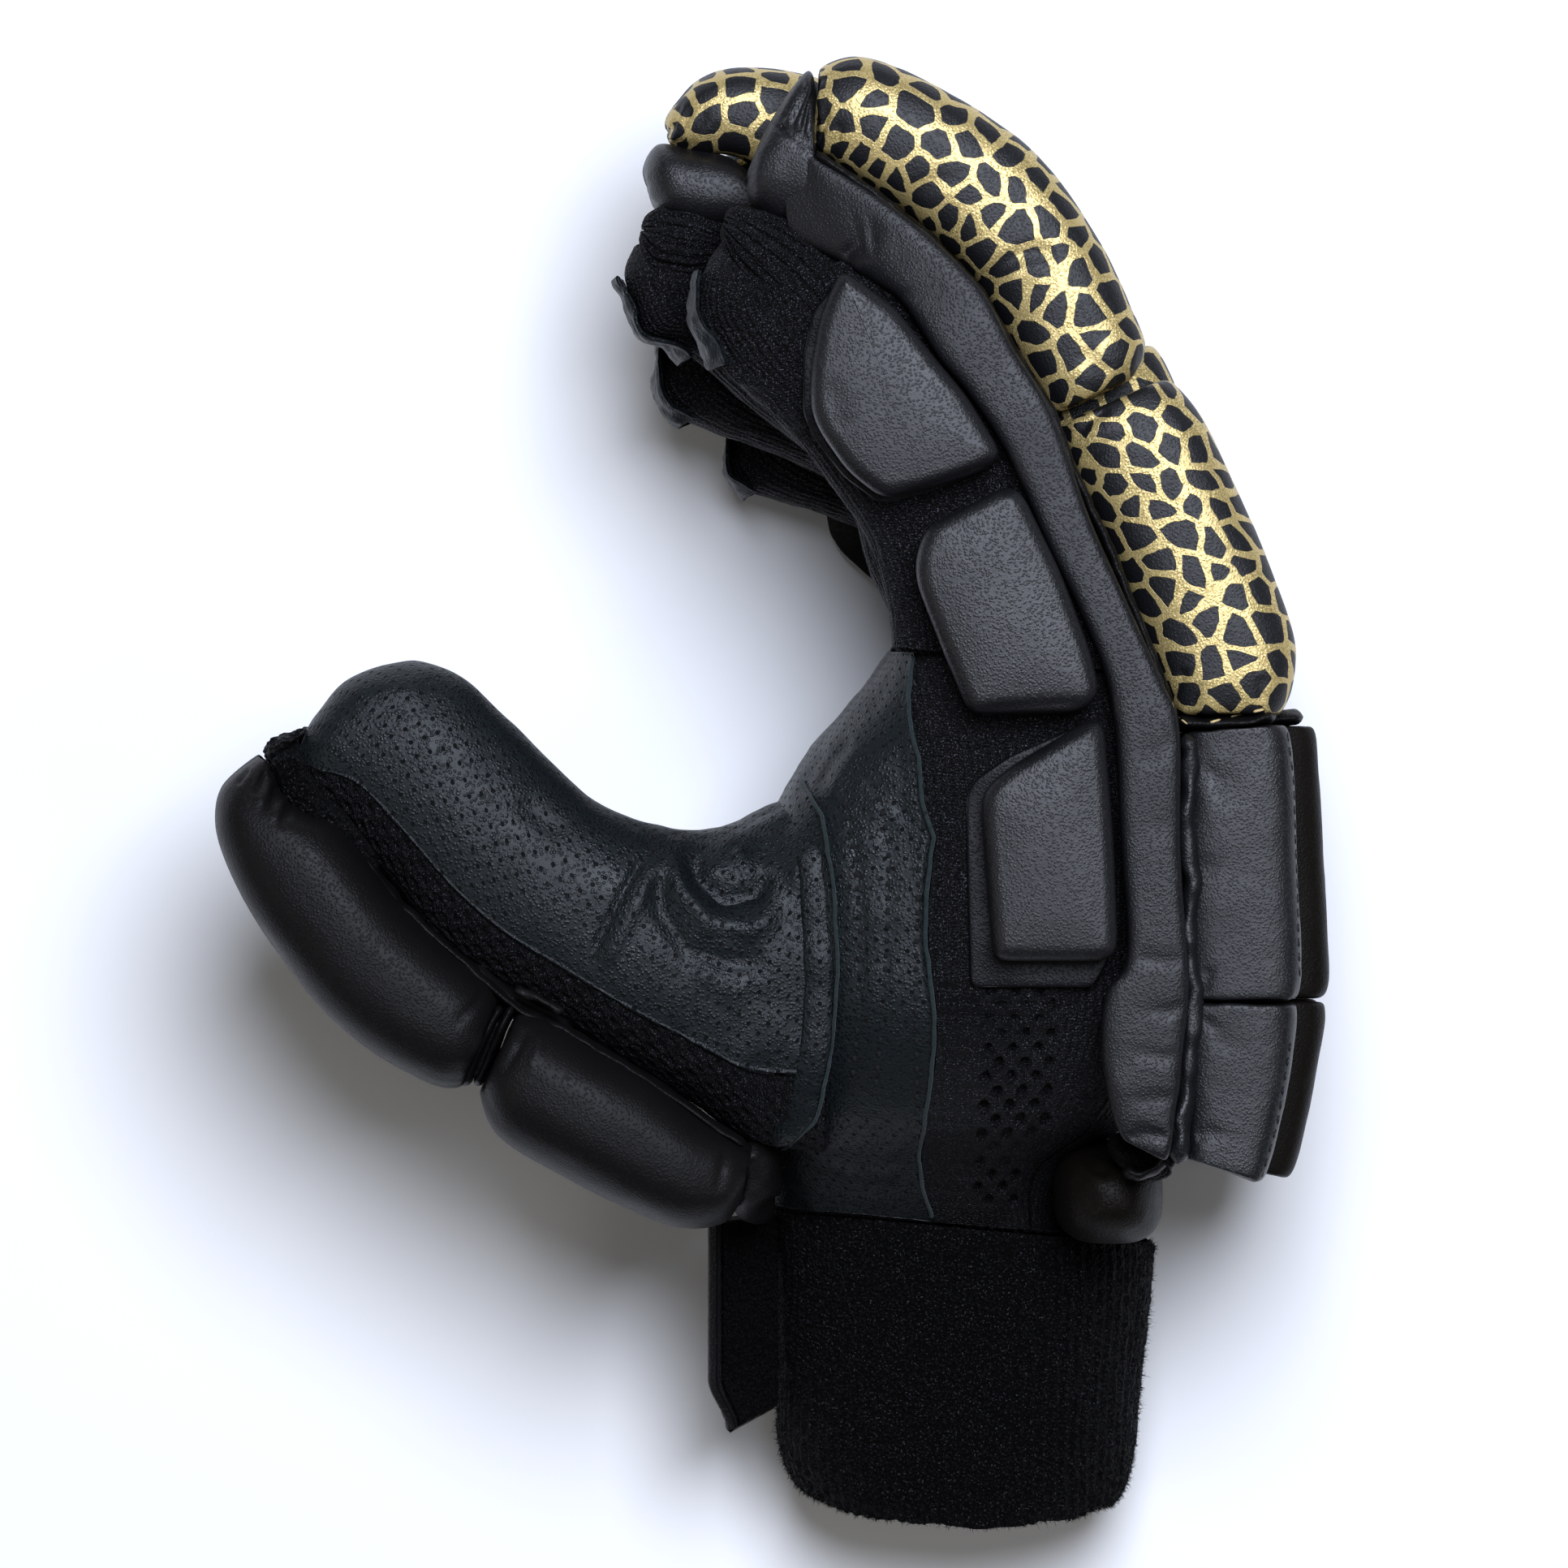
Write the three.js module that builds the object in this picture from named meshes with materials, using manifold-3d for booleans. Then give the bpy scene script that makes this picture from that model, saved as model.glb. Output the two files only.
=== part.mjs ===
// Right-hand cricket batting glove, lying on its little-finger side, in millimetres with +Z up.
// +X points to the back of the hand, +Y to the finger tips, +Z to the index and thumb side.
import * as THREE from 'three';
import { mergeVertices } from 'three/addons/utils/BufferGeometryUtils.js';
import Module from 'manifold-3d';

// Overall sizes
const GLOVE_LENGTH = 295;
const GLOVE_WIDTH = 220.8;
const FINGER_PITCH = 22;
const FINGER_COUNT = 4;

// Walls and pads
const STALL_WALL = 1.6;
const PANEL_WALL = 1.8;
const CUFF_WALL = 2.6;
const PATCH_WALL = 1.3;
const STRAP_WALL = 2.2;
const BACKING_THICKNESS = 1.0;
const SIDE_PAD_THICKNESS = 10;
const SIDE_BAR_THICKNESS = 6.4;
const SIDE_PAD_EDGE = 3.4;
const ROLL_GAP = 0.4;
const CLEAR = 0.3;
const PATCH_GAP = 0.42;

// Heights of the hand's two sides, worked out from what lies under and on them
const SIDE_STACK = SIDE_PAD_THICKNESS + BACKING_THICKNESS + 2 * CLEAR;
const HAND_LOW = SIDE_STACK;
const HAND_HIGH = HAND_LOW + FINGER_PITCH * FINGER_COUNT;
const HAND_BREADTH = HAND_HIGH - HAND_LOW;

// Edges of the glove's outline in the picture that the tables below were read from by hand
const OUTLINE = { left: 263, right: 1643, top: 63, bottom: 1906 };
const PER_UNIT_X = GLOVE_WIDTH / (OUTLINE.right - OUTLINE.left);
const PER_UNIT_Y = GLOVE_LENGTH / (OUTLINE.bottom - OUTLINE.top);

// The fingers copy the index finger, turned and scaled about the knuckle
const KNUCKLE = { x: 1450, y: 880 };
const BEND_START = 800;
const BEND_END = 670;
const FINGERS = [
  { name: 'index', slot: 3, scale: 1, turn: 0, slim: [0, 0, 0, 0, 0], arch: 0 },
  { name: 'middle', slot: 2, scale: 1.076, turn: 7.2, slim: [0, 0.31, 0.26, 0.21, 0], arch: 1 },
  { name: 'ring', slot: 1, scale: 0.98, turn: 7.6, slim: [0, 0.37, 0.03, 0, 0], arch: 0.7 },
  { name: 'little', slot: 0, scale: 0.82, turn: 10.1, slim: [0, 0.36, 0, 0, 0], arch: 0 },
];
const SLIM_AT = [0, 0.3, 0.6, 0.8, 1];

// Leather patch on each finger tip: its share of the stall's length and its angles in degrees
const PATCH = { start: 0.6, end: 0.9, from: 150, to: 210 };

// Mesh resolution
const ROLL_AROUND = 12;

const placeX = (x) => (x - (OUTLINE.left + OUTLINE.right) / 2) * PER_UNIT_X;
const placeY = (y) => ((OUTLINE.top + OUTLINE.bottom) / 2 - y) * PER_UNIT_Y;
const heightAt = (share) => HAND_LOW + share * HAND_BREADTH;
const smooth = (t) => t * t * (3 - 2 * t);
const clamp = (v, low, high) => Math.min(high, Math.max(low, v));
const radians = THREE.MathUtils.degToRad;

function rowsOf(columns, rows) {
  return rows.map((row) => Object.fromEntries(columns.map((name, i) => [name, row[i]])));
}

// Turn and scale a place on the index finger into the same place on another finger
function onFinger(finger, x, y) {
  const weight = smooth(clamp((BEND_START - y) / (BEND_START - BEND_END), 0, 1));
  const scale = 1 + (finger.scale - 1) * weight;
  const turn = radians(finger.turn) * weight;
  const dx = x - KNUCKLE.x;
  const dy = y - KNUCKLE.y;
  return {
    x: KNUCKLE.x + scale * (dx * Math.cos(turn) + dy * Math.sin(turn)),
    y: KNUCKLE.y + scale * (dy * Math.cos(turn) - dx * Math.sin(turn)),
  };
}

// Sections: px, py is the palm end and bx, by the back end, in picture units

const HAND = rowsOf(['px', 'py', 'bx', 'by', 'low', 'high', 'square'], [
  [948, 1495, 1318, 1530, -0.130, 0.50, 2.4],
  [940, 1440, 1322, 1450, -0.095, 0.66, 2.5],
  [932, 1370, 1400, 1385, -0.045, 0.86, 2.7],
  [930, 1260, 1452, 1275, 0.000, 0.98, 3.0],
  [922, 1140, 1455, 1155, 0.000, 1.00, 3.2],
  [945, 1020, 1455, 1040, 0.000, 1.00, 3.2],
  [1000, 925, 1450, 950, 0.000, 1.00, 3.2],
  [1060, 855, 1440, 885, 0.000, 1.00, 3.4],
  [1100, 801, 1420, 837, 0.000, 1.00, 3.8],
]);

// Angles of the seams between the hand's four panels, from the wrist to the finger roots
const SEAMS = rowsOf(['share', 'index', 'little', 'back'], [
  [0.00, 86, 258, 43],
  [0.25, 93, 258, 43],
  [0.62, 94, 258, 43],
  [0.75, 104, 256, 43],
  [0.88, 122, 250, 43],
  [1.00, 134, 246, 43],
]);
const SEAM_GAP = 1;

const CUFF = rowsOf(['px', 'py', 'bx', 'by', 'low', 'high', 'square'], [
  [950, 1500, 1432, 1545, -0.150, 0.50, 2.3],
  [956, 1600, 1427, 1625, -0.155, 0.48, 2.3],
  [957, 1710, 1417, 1722, -0.160, 0.45, 2.3],
  [959, 1800, 1409, 1810, -0.160, 0.43, 2.3],
  [978, 1846, 1396, 1858, -0.155, 0.41, 2.3],
  [1000, 1866, 1378, 1880, -0.150, 0.39, 2.3],
]);
const CUFF_HEM_BOW = 4.6;

const STALL = rowsOf(['px', 'py', 'bx', 'by', 'thin', 'square'], [
  [1101, 797, 1420, 832, 1.00, 4.5],
  [1092, 730, 1387, 757, 1.00, 3.6],
  [1068, 660, 1352, 670, 1.00, 3.2],
  [1030, 605, 1318, 588, 1.00, 3.0],
  [985, 545, 1286, 505, 1.00, 2.8],
  [925, 487, 1251, 436, 1.00, 2.8],
  [888, 448, 1199, 356, 1.00, 2.7],
  [868, 416, 1132, 286, 0.98, 2.6],
  [857, 380, 1046, 322, 0.92, 2.5],
  [868, 335, 985, 306, 0.80, 2.3],
  [888, 300, 938, 285, 0.55, 2.1],
]);
const WRAPPED_STALL = rowsOf(['px', 'py', 'bx', 'by', 'thin', 'square'], [
  ...STALL.slice(0, 9).map((row) => Object.values(row)),
  [868, 335, 985, 300, 0.88, 2.4],
  [878, 297, 958, 270, 0.76, 2.3],
  [900, 264, 932, 255, 0.50, 2.1],
]);

const PROXIMAL_ROLL = rowsOf(['px', 'py', 'bx', 'by', 'thin', 'square', 'arch'], [
  [1446, 880, 1582, 882, 0.86, 2.8, 0],
  [1432, 836, 1595, 838, 0.98, 2.8, 0],
  [1408, 775, 1594, 778, 1.00, 2.7, 0],
  [1370, 680, 1562, 686, 1.00, 2.7, 0],
  [1328, 590, 1518, 588, 1.00, 2.7, 6],
  [1312, 545, 1482, 516, 0.97, 2.7, 24],
  [1304, 522, 1443, 462, 0.84, 2.6, 50],
]);

const DISTAL_ROLL = rowsOf(['px', 'py', 'bx', 'by', 'thin', 'square'], [
  [1300, 510, 1398, 466, 0.84, 2.6],
  [1284, 484, 1412, 428, 0.97, 2.7],
  [1252, 432, 1396, 382, 1.00, 2.7],
  [1208, 352, 1352, 290, 1.00, 2.7],
  [1150, 290, 1272, 182, 1.00, 2.7],
  [1084, 238, 1155, 105, 1.00, 2.6],
  [1036, 206, 1066, 68, 0.98, 2.5],
  [1006, 190, 1008, 80, 0.84, 2.4],
]);

const TIP_CAP = rowsOf(['px', 'py', 'bx', 'by', 'thin', 'square'], [
  [1098, 284, 1092, 256, 0.70, 2.4],
  [1052, 300, 1046, 224, 0.94, 2.6],
  [1012, 298, 996, 210, 0.97, 2.6],
  [987, 291, 985, 124, 0.97, 2.5],
  [970, 282, 978, 98, 0.96, 2.4],
  [948, 270, 954, 130, 0.90, 2.4],
  [930, 256, 935, 170, 0.78, 2.3],
  [919, 240, 921, 206, 0.55, 2.2],
]);

// The other fingers' rolls run round the end of the finger, with the cap below them
const WRAPPED_ROLL = rowsOf(['px', 'py', 'bx', 'by', 'thin', 'square'], [
  ...DISTAL_ROLL.slice(0, 6).map((row) => Object.values(row)),
  [1034, 180, 1060, 74, 1.00, 2.6],
  [984, 168, 998, 80, 0.97, 2.5],
  [956, 158, 952, 116, 0.84, 2.4],
]);
const WRAPPED_CAP = rowsOf(['px', 'py', 'bx', 'by', 'thin', 'square'], [
  [1100, 273, 1094, 247, 0.70, 2.4],
  [1058, 263, 1052, 213, 0.94, 2.6],
  [1024, 251, 1024, 185, 0.97, 2.6],
  [986, 245, 980, 169, 0.97, 2.5],
  [950, 235, 942, 160, 0.92, 2.4],
  [926, 219, 920, 181, 0.62, 2.3],
]);

const SIDE_BAR = rowsOf(['px', 'py', 'bx', 'by'], [
  [1040, 324, 1006, 196],
  [1072, 344, 1060, 230],
  [1112, 374, 1136, 287],
  [1156, 441, 1206, 358],
  [1194, 487, 1247, 432],
  [1243, 564, 1294, 511],
  [1286, 660, 1337, 633],
  [1330, 752, 1379, 728],
  [1360, 828, 1428, 838],
  [1374, 904, 1450, 897],
  [1381, 1038, 1451, 1046],
  [1388, 1176, 1460, 1178],
  [1362, 1222, 1462, 1226],
  [1355, 1300, 1456, 1308],
  [1370, 1398, 1446, 1434],
]);

const THUMB = rowsOf(['px', 'py', 'bx', 'by', 'low', 'high', 'square'], [
  [1020, 962, 1016, 1424, 0.42, 0.95, 2.6],
  [935, 1002, 927, 1411, 0.44, 0.96, 2.5],
  [870, 1022, 852, 1361, 0.49, 0.97, 2.5],
  [800, 1014, 762, 1307, 0.54, 0.98, 2.4],
  [735, 988, 678, 1252, 0.58, 0.98, 2.4],
  [682, 944, 602, 1211, 0.60, 0.98, 2.3],
  [628, 890, 536, 1157, 0.62, 0.98, 2.3],
  [566, 834, 466, 1073, 0.64, 0.98, 2.3],
  [502, 813, 420, 1012, 0.66, 0.97, 2.3],
  [430, 836, 380, 985, 0.69, 0.95, 2.2],
  [384, 884, 354, 952, 0.75, 0.90, 2.1],
]);

const THUMB_SEAM = 61;

const THUMB_DISTAL = rowsOf(['px', 'py', 'bx', 'by', 'low', 'high', 'square'], [
  [338, 944, 318, 930, 0.72, 0.92, 2.3],
  [347, 974, 273, 972, 0.66, 0.98, 2.5],
  [376, 1000, 268, 1030, 0.62, 1.02, 2.7],
  [420, 1022, 308, 1122, 0.60, 1.04, 2.8],
  [489, 1111, 382, 1226, 0.59, 1.05, 2.8],
  [537, 1158, 457, 1292, 0.58, 1.05, 2.8],
  [596, 1208, 530, 1334, 0.58, 1.04, 2.8],
  [616, 1234, 570, 1340, 0.60, 1.01, 2.6],
]);

const THUMB_PROXIMAL = rowsOf(['px', 'py', 'bx', 'by', 'low', 'high', 'square'], [
  [638, 1246, 588, 1350, 0.58, 1.01, 2.6],
  [676, 1258, 616, 1400, 0.56, 1.04, 2.8],
  [740, 1297, 694, 1447, 0.54, 1.05, 2.8],
  [801, 1330, 762, 1484, 0.52, 1.04, 2.8],
  [858, 1374, 832, 1512, 0.50, 1.03, 2.8],
  [906, 1404, 890, 1508, 0.50, 1.00, 2.7],
  [927, 1418, 914, 1480, 0.52, 0.96, 2.5],
]);

const KNIT_END = rowsOf(['px', 'py', 'bx', 'by', 'low', 'high', 'square'], [
  [377, 894, 334, 909, 0.76, 0.88, 2.2],
  [371, 908, 332, 926, 0.72, 0.92, 2.2],
  [356, 924, 338, 938, 0.76, 0.90, 2.2],
]);

const BACK_PADS = {
  upper: rowsOf(['px', 'py', 'bx', 'by'], [
    [1455, 902, 1576, 892],
    [1454, 925, 1592, 914],
    [1454, 1060, 1601, 1060],
    [1455, 1190, 1606, 1196],
    [1458, 1233, 1598, 1233],
  ]),
  lower: rowsOf(['px', 'py', 'bx', 'by'], [
    [1458, 1236, 1600, 1236],
    [1456, 1262, 1600, 1268],
    [1455, 1340, 1586, 1352],
    [1456, 1410, 1566, 1434],
    [1457, 1428, 1554, 1458],
  ]),
};
const BACK_PAD_RISE = { index: 0, middle: 6.4, ring: 6.0, little: 0.8 };

// Side pads, corner by corner round their outlines, and the backings that show round two of them
const SIDE_PADS = {
  tip: [[1036, 334], [1103, 384], [1152, 446], [1190, 491], [1234, 564], [1210, 582], [1147, 603],
    [1088, 616], [1045, 582], [1011, 534], [1000, 509], [1000, 455], [1010, 395]],
  middle: [[1240, 600], [1256, 606], [1304, 705], [1340, 800], [1354, 855], [1345, 866], [1328, 878],
    [1194, 880], [1160, 798], [1129, 718], [1128, 689], [1141, 651]],
  hand: [[1347, 884], [1358, 890], [1366, 990], [1371, 1062], [1375, 1172], [1366, 1182], [1223, 1182],
    [1215, 1086], [1208, 990], [1213, 971], [1247, 943]],
};
const BACKINGS = {
  tip: [[1034, 345], [1098, 384], [1184, 489], [1228, 562], [1205, 584], [1147, 606], [1086, 622],
    [1040, 588], [1003, 540], [990, 509], [990, 440], [1002, 385]],
  hand: [[1340, 890], [1350, 895], [1360, 990], [1364, 1062], [1366, 1180], [1346, 1215], [1196, 1215],
    [1192, 1090], [1190, 985], [1200, 962], [1243, 932]],
};

const HEEL_ROLL = {
  x: 1384, y: 1478, reachX: 56, reachY: 58, low: -0.07, high: 0.80, endSize: 0.4, endPower: 5,
};
const STRAP = {
  rootX: 953,
  edgeX: 892,
  top: 1503,
  bottom: 1766,
  rootHeight: 0.26,
  edgeHeight: 0.42,
  bulge: 1.4,
  corner: 0.1,
  lean: 0.4,
};

// Loft: a list of sections, each an ellipse-like ring between a palm end and a back end
function loftOf(rows, extra = {}) {
  const sections = rows.map((row) => ({
    palm: [placeX(row.px), placeY(row.py)],
    back: [placeX(row.bx), placeY(row.by)],
    centre: row.centre ?? heightAt((row.low + row.high) / 2),
    reach: row.reach ?? ((row.high - row.low) * HAND_BREADTH) / 2,
    square: row.square ?? 3,
  }));
  return { sections, ...extra };
}

function blend(a, b, c, d, t) {
  const m1 = (c - a) / 2;
  const m2 = (d - b) / 2;
  const t2 = t * t;
  const t3 = t2 * t;
  return (2 * t3 - 3 * t2 + 1) * b + (t3 - 2 * t2 + t) * m1 + (3 * t2 - 2 * t3) * c + (t3 - t2) * m2;
}

// Value at a share of the way through a table that lists its shares
function between(shares, values, share) {
  const i = clamp(shares.findIndex((x) => x > share) - 1, 0, shares.length - 2);
  const k = share >= shares.at(-1) ? shares.length - 2 : i;
  const t = clamp((share - shares[k]) / (shares[k + 1] - shares[k]), 0, 1);
  return values[k] + (values[k + 1] - values[k]) * t;
}

const seamAt = (name) => (s) => between(SEAMS.map((q) => q.share), SEAMS.map((q) => q[name]), s);

function sectionAt(loft, s) {
  const last = loft.sections.length - 1;
  const i = Math.min(Math.floor(s * last), last - 1);
  const t = s * last - i;
  const four = [-1, 0, 1, 2].map((k) => loft.sections[clamp(i + k, 0, last)]);
  const mix = (pick) => blend(...four.map(pick), t);
  return {
    palm: [mix((q) => q.palm[0]), mix((q) => q.palm[1])],
    back: [mix((q) => q.back[0]), mix((q) => q.back[1])],
    centre: mix((q) => q.centre),
    reach: mix((q) => q.reach),
    square: mix((q) => q.square),
  };
}

// Point on a loft: angle 0 is the back, 90 the index side, 180 the palm, 270 the little-finger side
function pointOn(loft, s, angle, grow = 0, shrink = 1) {
  const q = sectionAt(loft, s);
  const dx = q.back[0] - q.palm[0];
  const dy = q.back[1] - q.palm[1];
  const span = Math.hypot(dx, dy);
  const power = 2 / q.square;
  const c = Math.cos(angle);
  const d = Math.sin(angle);
  const across = (span / 2 + grow) * shrink * Math.sign(c) * Math.abs(c) ** power;
  const up = (q.reach + grow) * shrink * Math.sign(d) * Math.abs(d) ** power;
  let z = q.centre + up;
  if (loft.rests) {
    z = Math.max(z, -grow);
  }
  const bow = (loft.bow ?? 0) * smooth(s) * Math.max(0, d) ** 2;
  return [
    (q.palm[0] + q.back[0]) / 2 + (dx / span) * across,
    (q.palm[1] + q.back[1]) / 2 + (dy / span) * across - bow,
    z,
  ];
}

// Closed bodies from grids of points
class Body {
  constructor() {
    this.points = [];
    this.faces = [];
  }

  ring(points) {
    const start = this.points.length;
    this.points.push(...points);
    return points.map((_, i) => start + i);
  }

  strip(a, b, closed = true) {
    const count = closed ? a.length : a.length - 1;
    for (let i = 0; i < count; i += 1) {
      const j = (i + 1) % a.length;
      this.faces.push([a[i], a[j], b[j]], [a[i], b[j], b[i]]);
    }
  }

  fan(ring, flip) {
    const centre = new THREE.Vector3();
    ring.forEach((i) => centre.add(new THREE.Vector3(...this.points[i])));
    centre.divideScalar(ring.length);
    const tip = this.ring([centre.toArray()])[0];
    ring.forEach((i, k) => {
      const j = ring[(k + 1) % ring.length];
      this.faces.push(flip ? [j, i, tip] : [i, j, tip]);
    });
  }

  volume() {
    return this.faces.reduce((sum, [a, b, c]) => {
      const [p, q, r] = [a, b, c].map((i) => new THREE.Vector3(...this.points[i]));
      return sum + p.dot(q.cross(r)) / 6;
    }, 0);
  }

  geometry() {
    const faces = this.volume() < 0 ? this.faces.map(([a, b, c]) => [a, c, b]) : this.faces;
    const geometry = new THREE.BufferGeometry();
    geometry.setAttribute('position', new THREE.Float32BufferAttribute(this.points.flat(), 3));
    geometry.setIndex(faces.flat());
    return geometry;
  }
}

function steps(count, from = 0, to = 1) {
  return Array.from({ length: count + 1 }, (_, i) => from + ((to - from) * i) / count);
}

const turnSteps = (count) => steps(count, 0, 2 * Math.PI).slice(0, count);

// Rings of points round a loft, one for each step along it
function ringsOf(body, loft, angles, grow, along, from = 0, to = 1) {
  return steps(along, from, to).map((s) => body.ring(angles.map((a) => pointOn(loft, s, a, grow))));
}

// Wall that goes all the way round, open at both ends
function tube(loft, { wall, along, around }) {
  const body = new Body();
  const angles = turnSteps(around);
  const outer = ringsOf(body, loft, angles, 0, along);
  const inner = ringsOf(body, loft, angles, -wall, along);
  for (let i = 0; i < along; i += 1) {
    body.strip(outer[i], outer[i + 1]);
    body.strip(inner[i + 1], inner[i]);
  }
  body.strip(inner[0], outer[0]);
  body.strip(outer[along], inner[along]);
  return body.geometry();
}

// Wall that is open at the start and closed at the tip
function cup(loft, { wall, along, around, innerEnd = 0.93 }) {
  const body = new Body();
  const angles = turnSteps(around);
  const outer = ringsOf(body, loft, angles, 0, along);
  const inner = ringsOf(body, loft, angles, -wall, along, 0, innerEnd);
  for (let i = 0; i < along; i += 1) {
    body.strip(outer[i], outer[i + 1]);
    body.strip(inner[i + 1], inner[i]);
  }
  body.strip(inner[0], outer[0]);
  body.fan(outer[along], false);
  body.fan(inner[along], true);
  return body.geometry();
}

// Part of a wall, between two angles in degrees that may change along it
function panel(loft, { wall, along, across, from, to, start = 0, end = 1, lift = 0 }) {
  const body = new Body();
  const side = (grow) => steps(along, start, end).map((s) => {
    const angles = steps(across, radians(from(s)), radians(to(s)));
    return body.ring(angles.map((a) => pointOn(loft, s, a, grow)));
  });
  const outer = side(lift);
  const inner = side(lift - wall);
  for (let i = 0; i < along; i += 1) {
    body.strip(outer[i], outer[i + 1], false);
    body.strip(inner[i + 1], inner[i], false);
  }
  const edge = (k) => [outer.map((r) => r.at(k)), inner.map((r) => r.at(k))];
  body.strip(inner[0], outer[0], false);
  body.strip(outer[along], inner[along], false);
  const [outerFirst, innerFirst] = edge(0);
  const [outerLast, innerLast] = edge(-1);
  body.strip(outerFirst, innerFirst, false);
  body.strip(innerLast, outerLast, false);
  return body.geometry();
}

// Size of a pad's section along it, which falls to a share of the full one at both ends
function endShrink(along, endSize, endPower) {
  const round = (1 - Math.abs(2 * along - 1) ** endPower) ** (1 / endPower);
  return endSize + (1 - endSize) * round;
}

// Solid pad along a loft, with round ends
function roll(loft, { along, around = ROLL_AROUND, endPower = 5, endSize = 0.5 }) {
  const body = new Body();
  const angles = turnSteps(around);
  const rings = steps(along).map((k) => {
    const s = (1 - Math.cos(Math.PI * k)) / 2;
    const shrink = endShrink(s, endSize, endPower);
    return body.ring(angles.map((a) => pointOn(loft, s, a, 0, shrink)));
  });
  for (let i = 0; i < along; i += 1) {
    body.strip(rings[i], rings[i + 1]);
  }
  body.fan(rings[0], true);
  body.fan(rings[along], false);
  return body.geometry();
}

// Solid filling a loft, for cutting
function core(loft, { grow, along, around, from = 0, to = 1 }) {
  const body = new Body();
  const rings = ringsOf(body, loft, turnSteps(around), grow, along, from, to);
  for (let i = 0; i < along; i += 1) {
    body.strip(rings[i], rings[i + 1]);
  }
  body.fan(rings[0], true);
  body.fan(rings[along], false);
  return body.geometry();
}

// Outline moved inwards by a distance, along the bisector at each corner
function inset(outline, distance) {
  const area = outline.reduce((sum, [x, y], i) => {
    const [u, v] = outline[(i + 1) % outline.length];
    return sum + (x * v - u * y) / 2;
  }, 0);
  const sense = Math.sign(area);
  return outline.map(([x, y], i) => {
    const before = outline.at(i - 1);
    const after = outline[(i + 1) % outline.length];
    const a = new THREE.Vector2(x - before[0], y - before[1]).normalize();
    const b = new THREE.Vector2(after[0] - x, after[1] - y).normalize();
    const across = new THREE.Vector2(-(a.y + b.y), a.x + b.x).normalize();
    const lean = Math.max(0.5, Math.abs(across.dot(new THREE.Vector2(-a.y, a.x))));
    return [x + (sense * across.x * distance) / lean, y + (sense * across.y * distance) / lean];
  });
}

// Flat pad from its outline, with a rounded upper edge
function flatPad(outline, from, to, edge) {
  const body = new Body();
  const levels = rowsOf(['height', 'inset'], edge > 0
    ? [[0, 0], [0.55, 0], [0.86, 0.32], [1, 1]]
    : [[0, 0], [1, 0]]);
  const rings = levels.map((level) => body.ring(
    inset(outline, level.inset * edge).map(([x, y]) => [x, y, from + (to - from) * level.height]),
  ));
  for (let i = 0; i + 1 < rings.length; i += 1) {
    body.strip(rings[i], rings[i + 1]);
  }
  body.fan(rings[0], true);
  body.fan(rings.at(-1), false);
  return body.geometry();
}

const wasm = await Module();
wasm.setup();

function solidOf(geometry) {
  const merged = mergeVertices(geometry.clone(), 1e-4);
  return new wasm.Manifold(new wasm.Mesh({
    numProp: 3,
    vertProperties: new Float32Array(merged.attributes.position.array),
    triVerts: new Uint32Array(merged.index.array),
  }));
}

function geometryOf(solid) {
  const mesh = solid.getMesh();
  const geometry = new THREE.BufferGeometry();
  geometry.setAttribute('position', new THREE.BufferAttribute(new Float32Array(mesh.vertProperties), 3));
  geometry.setIndex(new THREE.BufferAttribute(new Uint32Array(mesh.triVerts), 1));
  return geometry;
}

// Largest body that is left of a geometry when a solid is cut away
function cutBy(geometry, solid) {
  const bodies = solidOf(geometry).subtract(solid).decompose();
  return geometryOf(bodies.sort((a, b) => b.volume() - a.volume())[0]);
}

// Materials
function finish(color, roughness, metalness = 0) {
  return new THREE.MeshStandardMaterial({ color, roughness, metalness });
}

const GOLD_PRINT = finish(0xb9a05a, 0.38, 0.35);
const BLACK_LEATHER = finish(0x17181b, 0.45);
const PALM_LEATHER = finish(0x1f2627, 0.42);
const BLACK_MESH = finish(0x0e0e10, 0.85);
const TOWELLING = finish(0x101012, 0.95);

const glove = new THREE.Group();

function add(name, geometry, material) {
  const mesh = new THREE.Mesh(geometry, material);
  mesh.name = name;
  glove.add(mesh);
}

// Hand, cuff and thumb
const handLoft = loftOf(HAND, { rests: true });
const thumbLoft = loftOf(THUMB);
const handSolid = solidOf(core(handLoft, { grow: 1.5 * CLEAR, along: 11, around: 32 }));
const thumbHollow = solidOf(core(thumbLoft, { grow: -STALL_WALL - CLEAR, along: 13, around: 20, to: 0.97 }));
const backSeam = seamAt('back');
const indexSeam = seamAt('index');
const littleSeam = seamAt('little');
const PANELS = rowsOf(['name', 'from', 'to', 'across', 'material'], [
  ['back_liner', (s) => -backSeam(s), backSeam, 6, BLACK_MESH],
  ['radial_mesh', (s) => backSeam(s) + SEAM_GAP, (s) => indexSeam(s) - SEAM_GAP, 7, BLACK_MESH],
  ['palm_leather', indexSeam, littleSeam, 12, PALM_LEATHER],
  ['ulnar_mesh', (s) => littleSeam(s) + SEAM_GAP, (s) => 360 - backSeam(s) - SEAM_GAP, 7, BLACK_MESH],
]);
for (const { name, from, to, across, material } of PANELS) {
  const whole = panel(handLoft, { wall: PANEL_WALL, along: 11, across, from, to });
  const cut = name === 'palm_leather' ? cutBy(whole, thumbHollow) : whole;
  add(name, cut, material);
}

const cuffLoft = loftOf(CUFF, { rests: true, bow: CUFF_HEM_BOW });
add('cuff', tube(cuffLoft, { wall: CUFF_WALL, along: 7, around: 28 }), TOWELLING);

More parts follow.
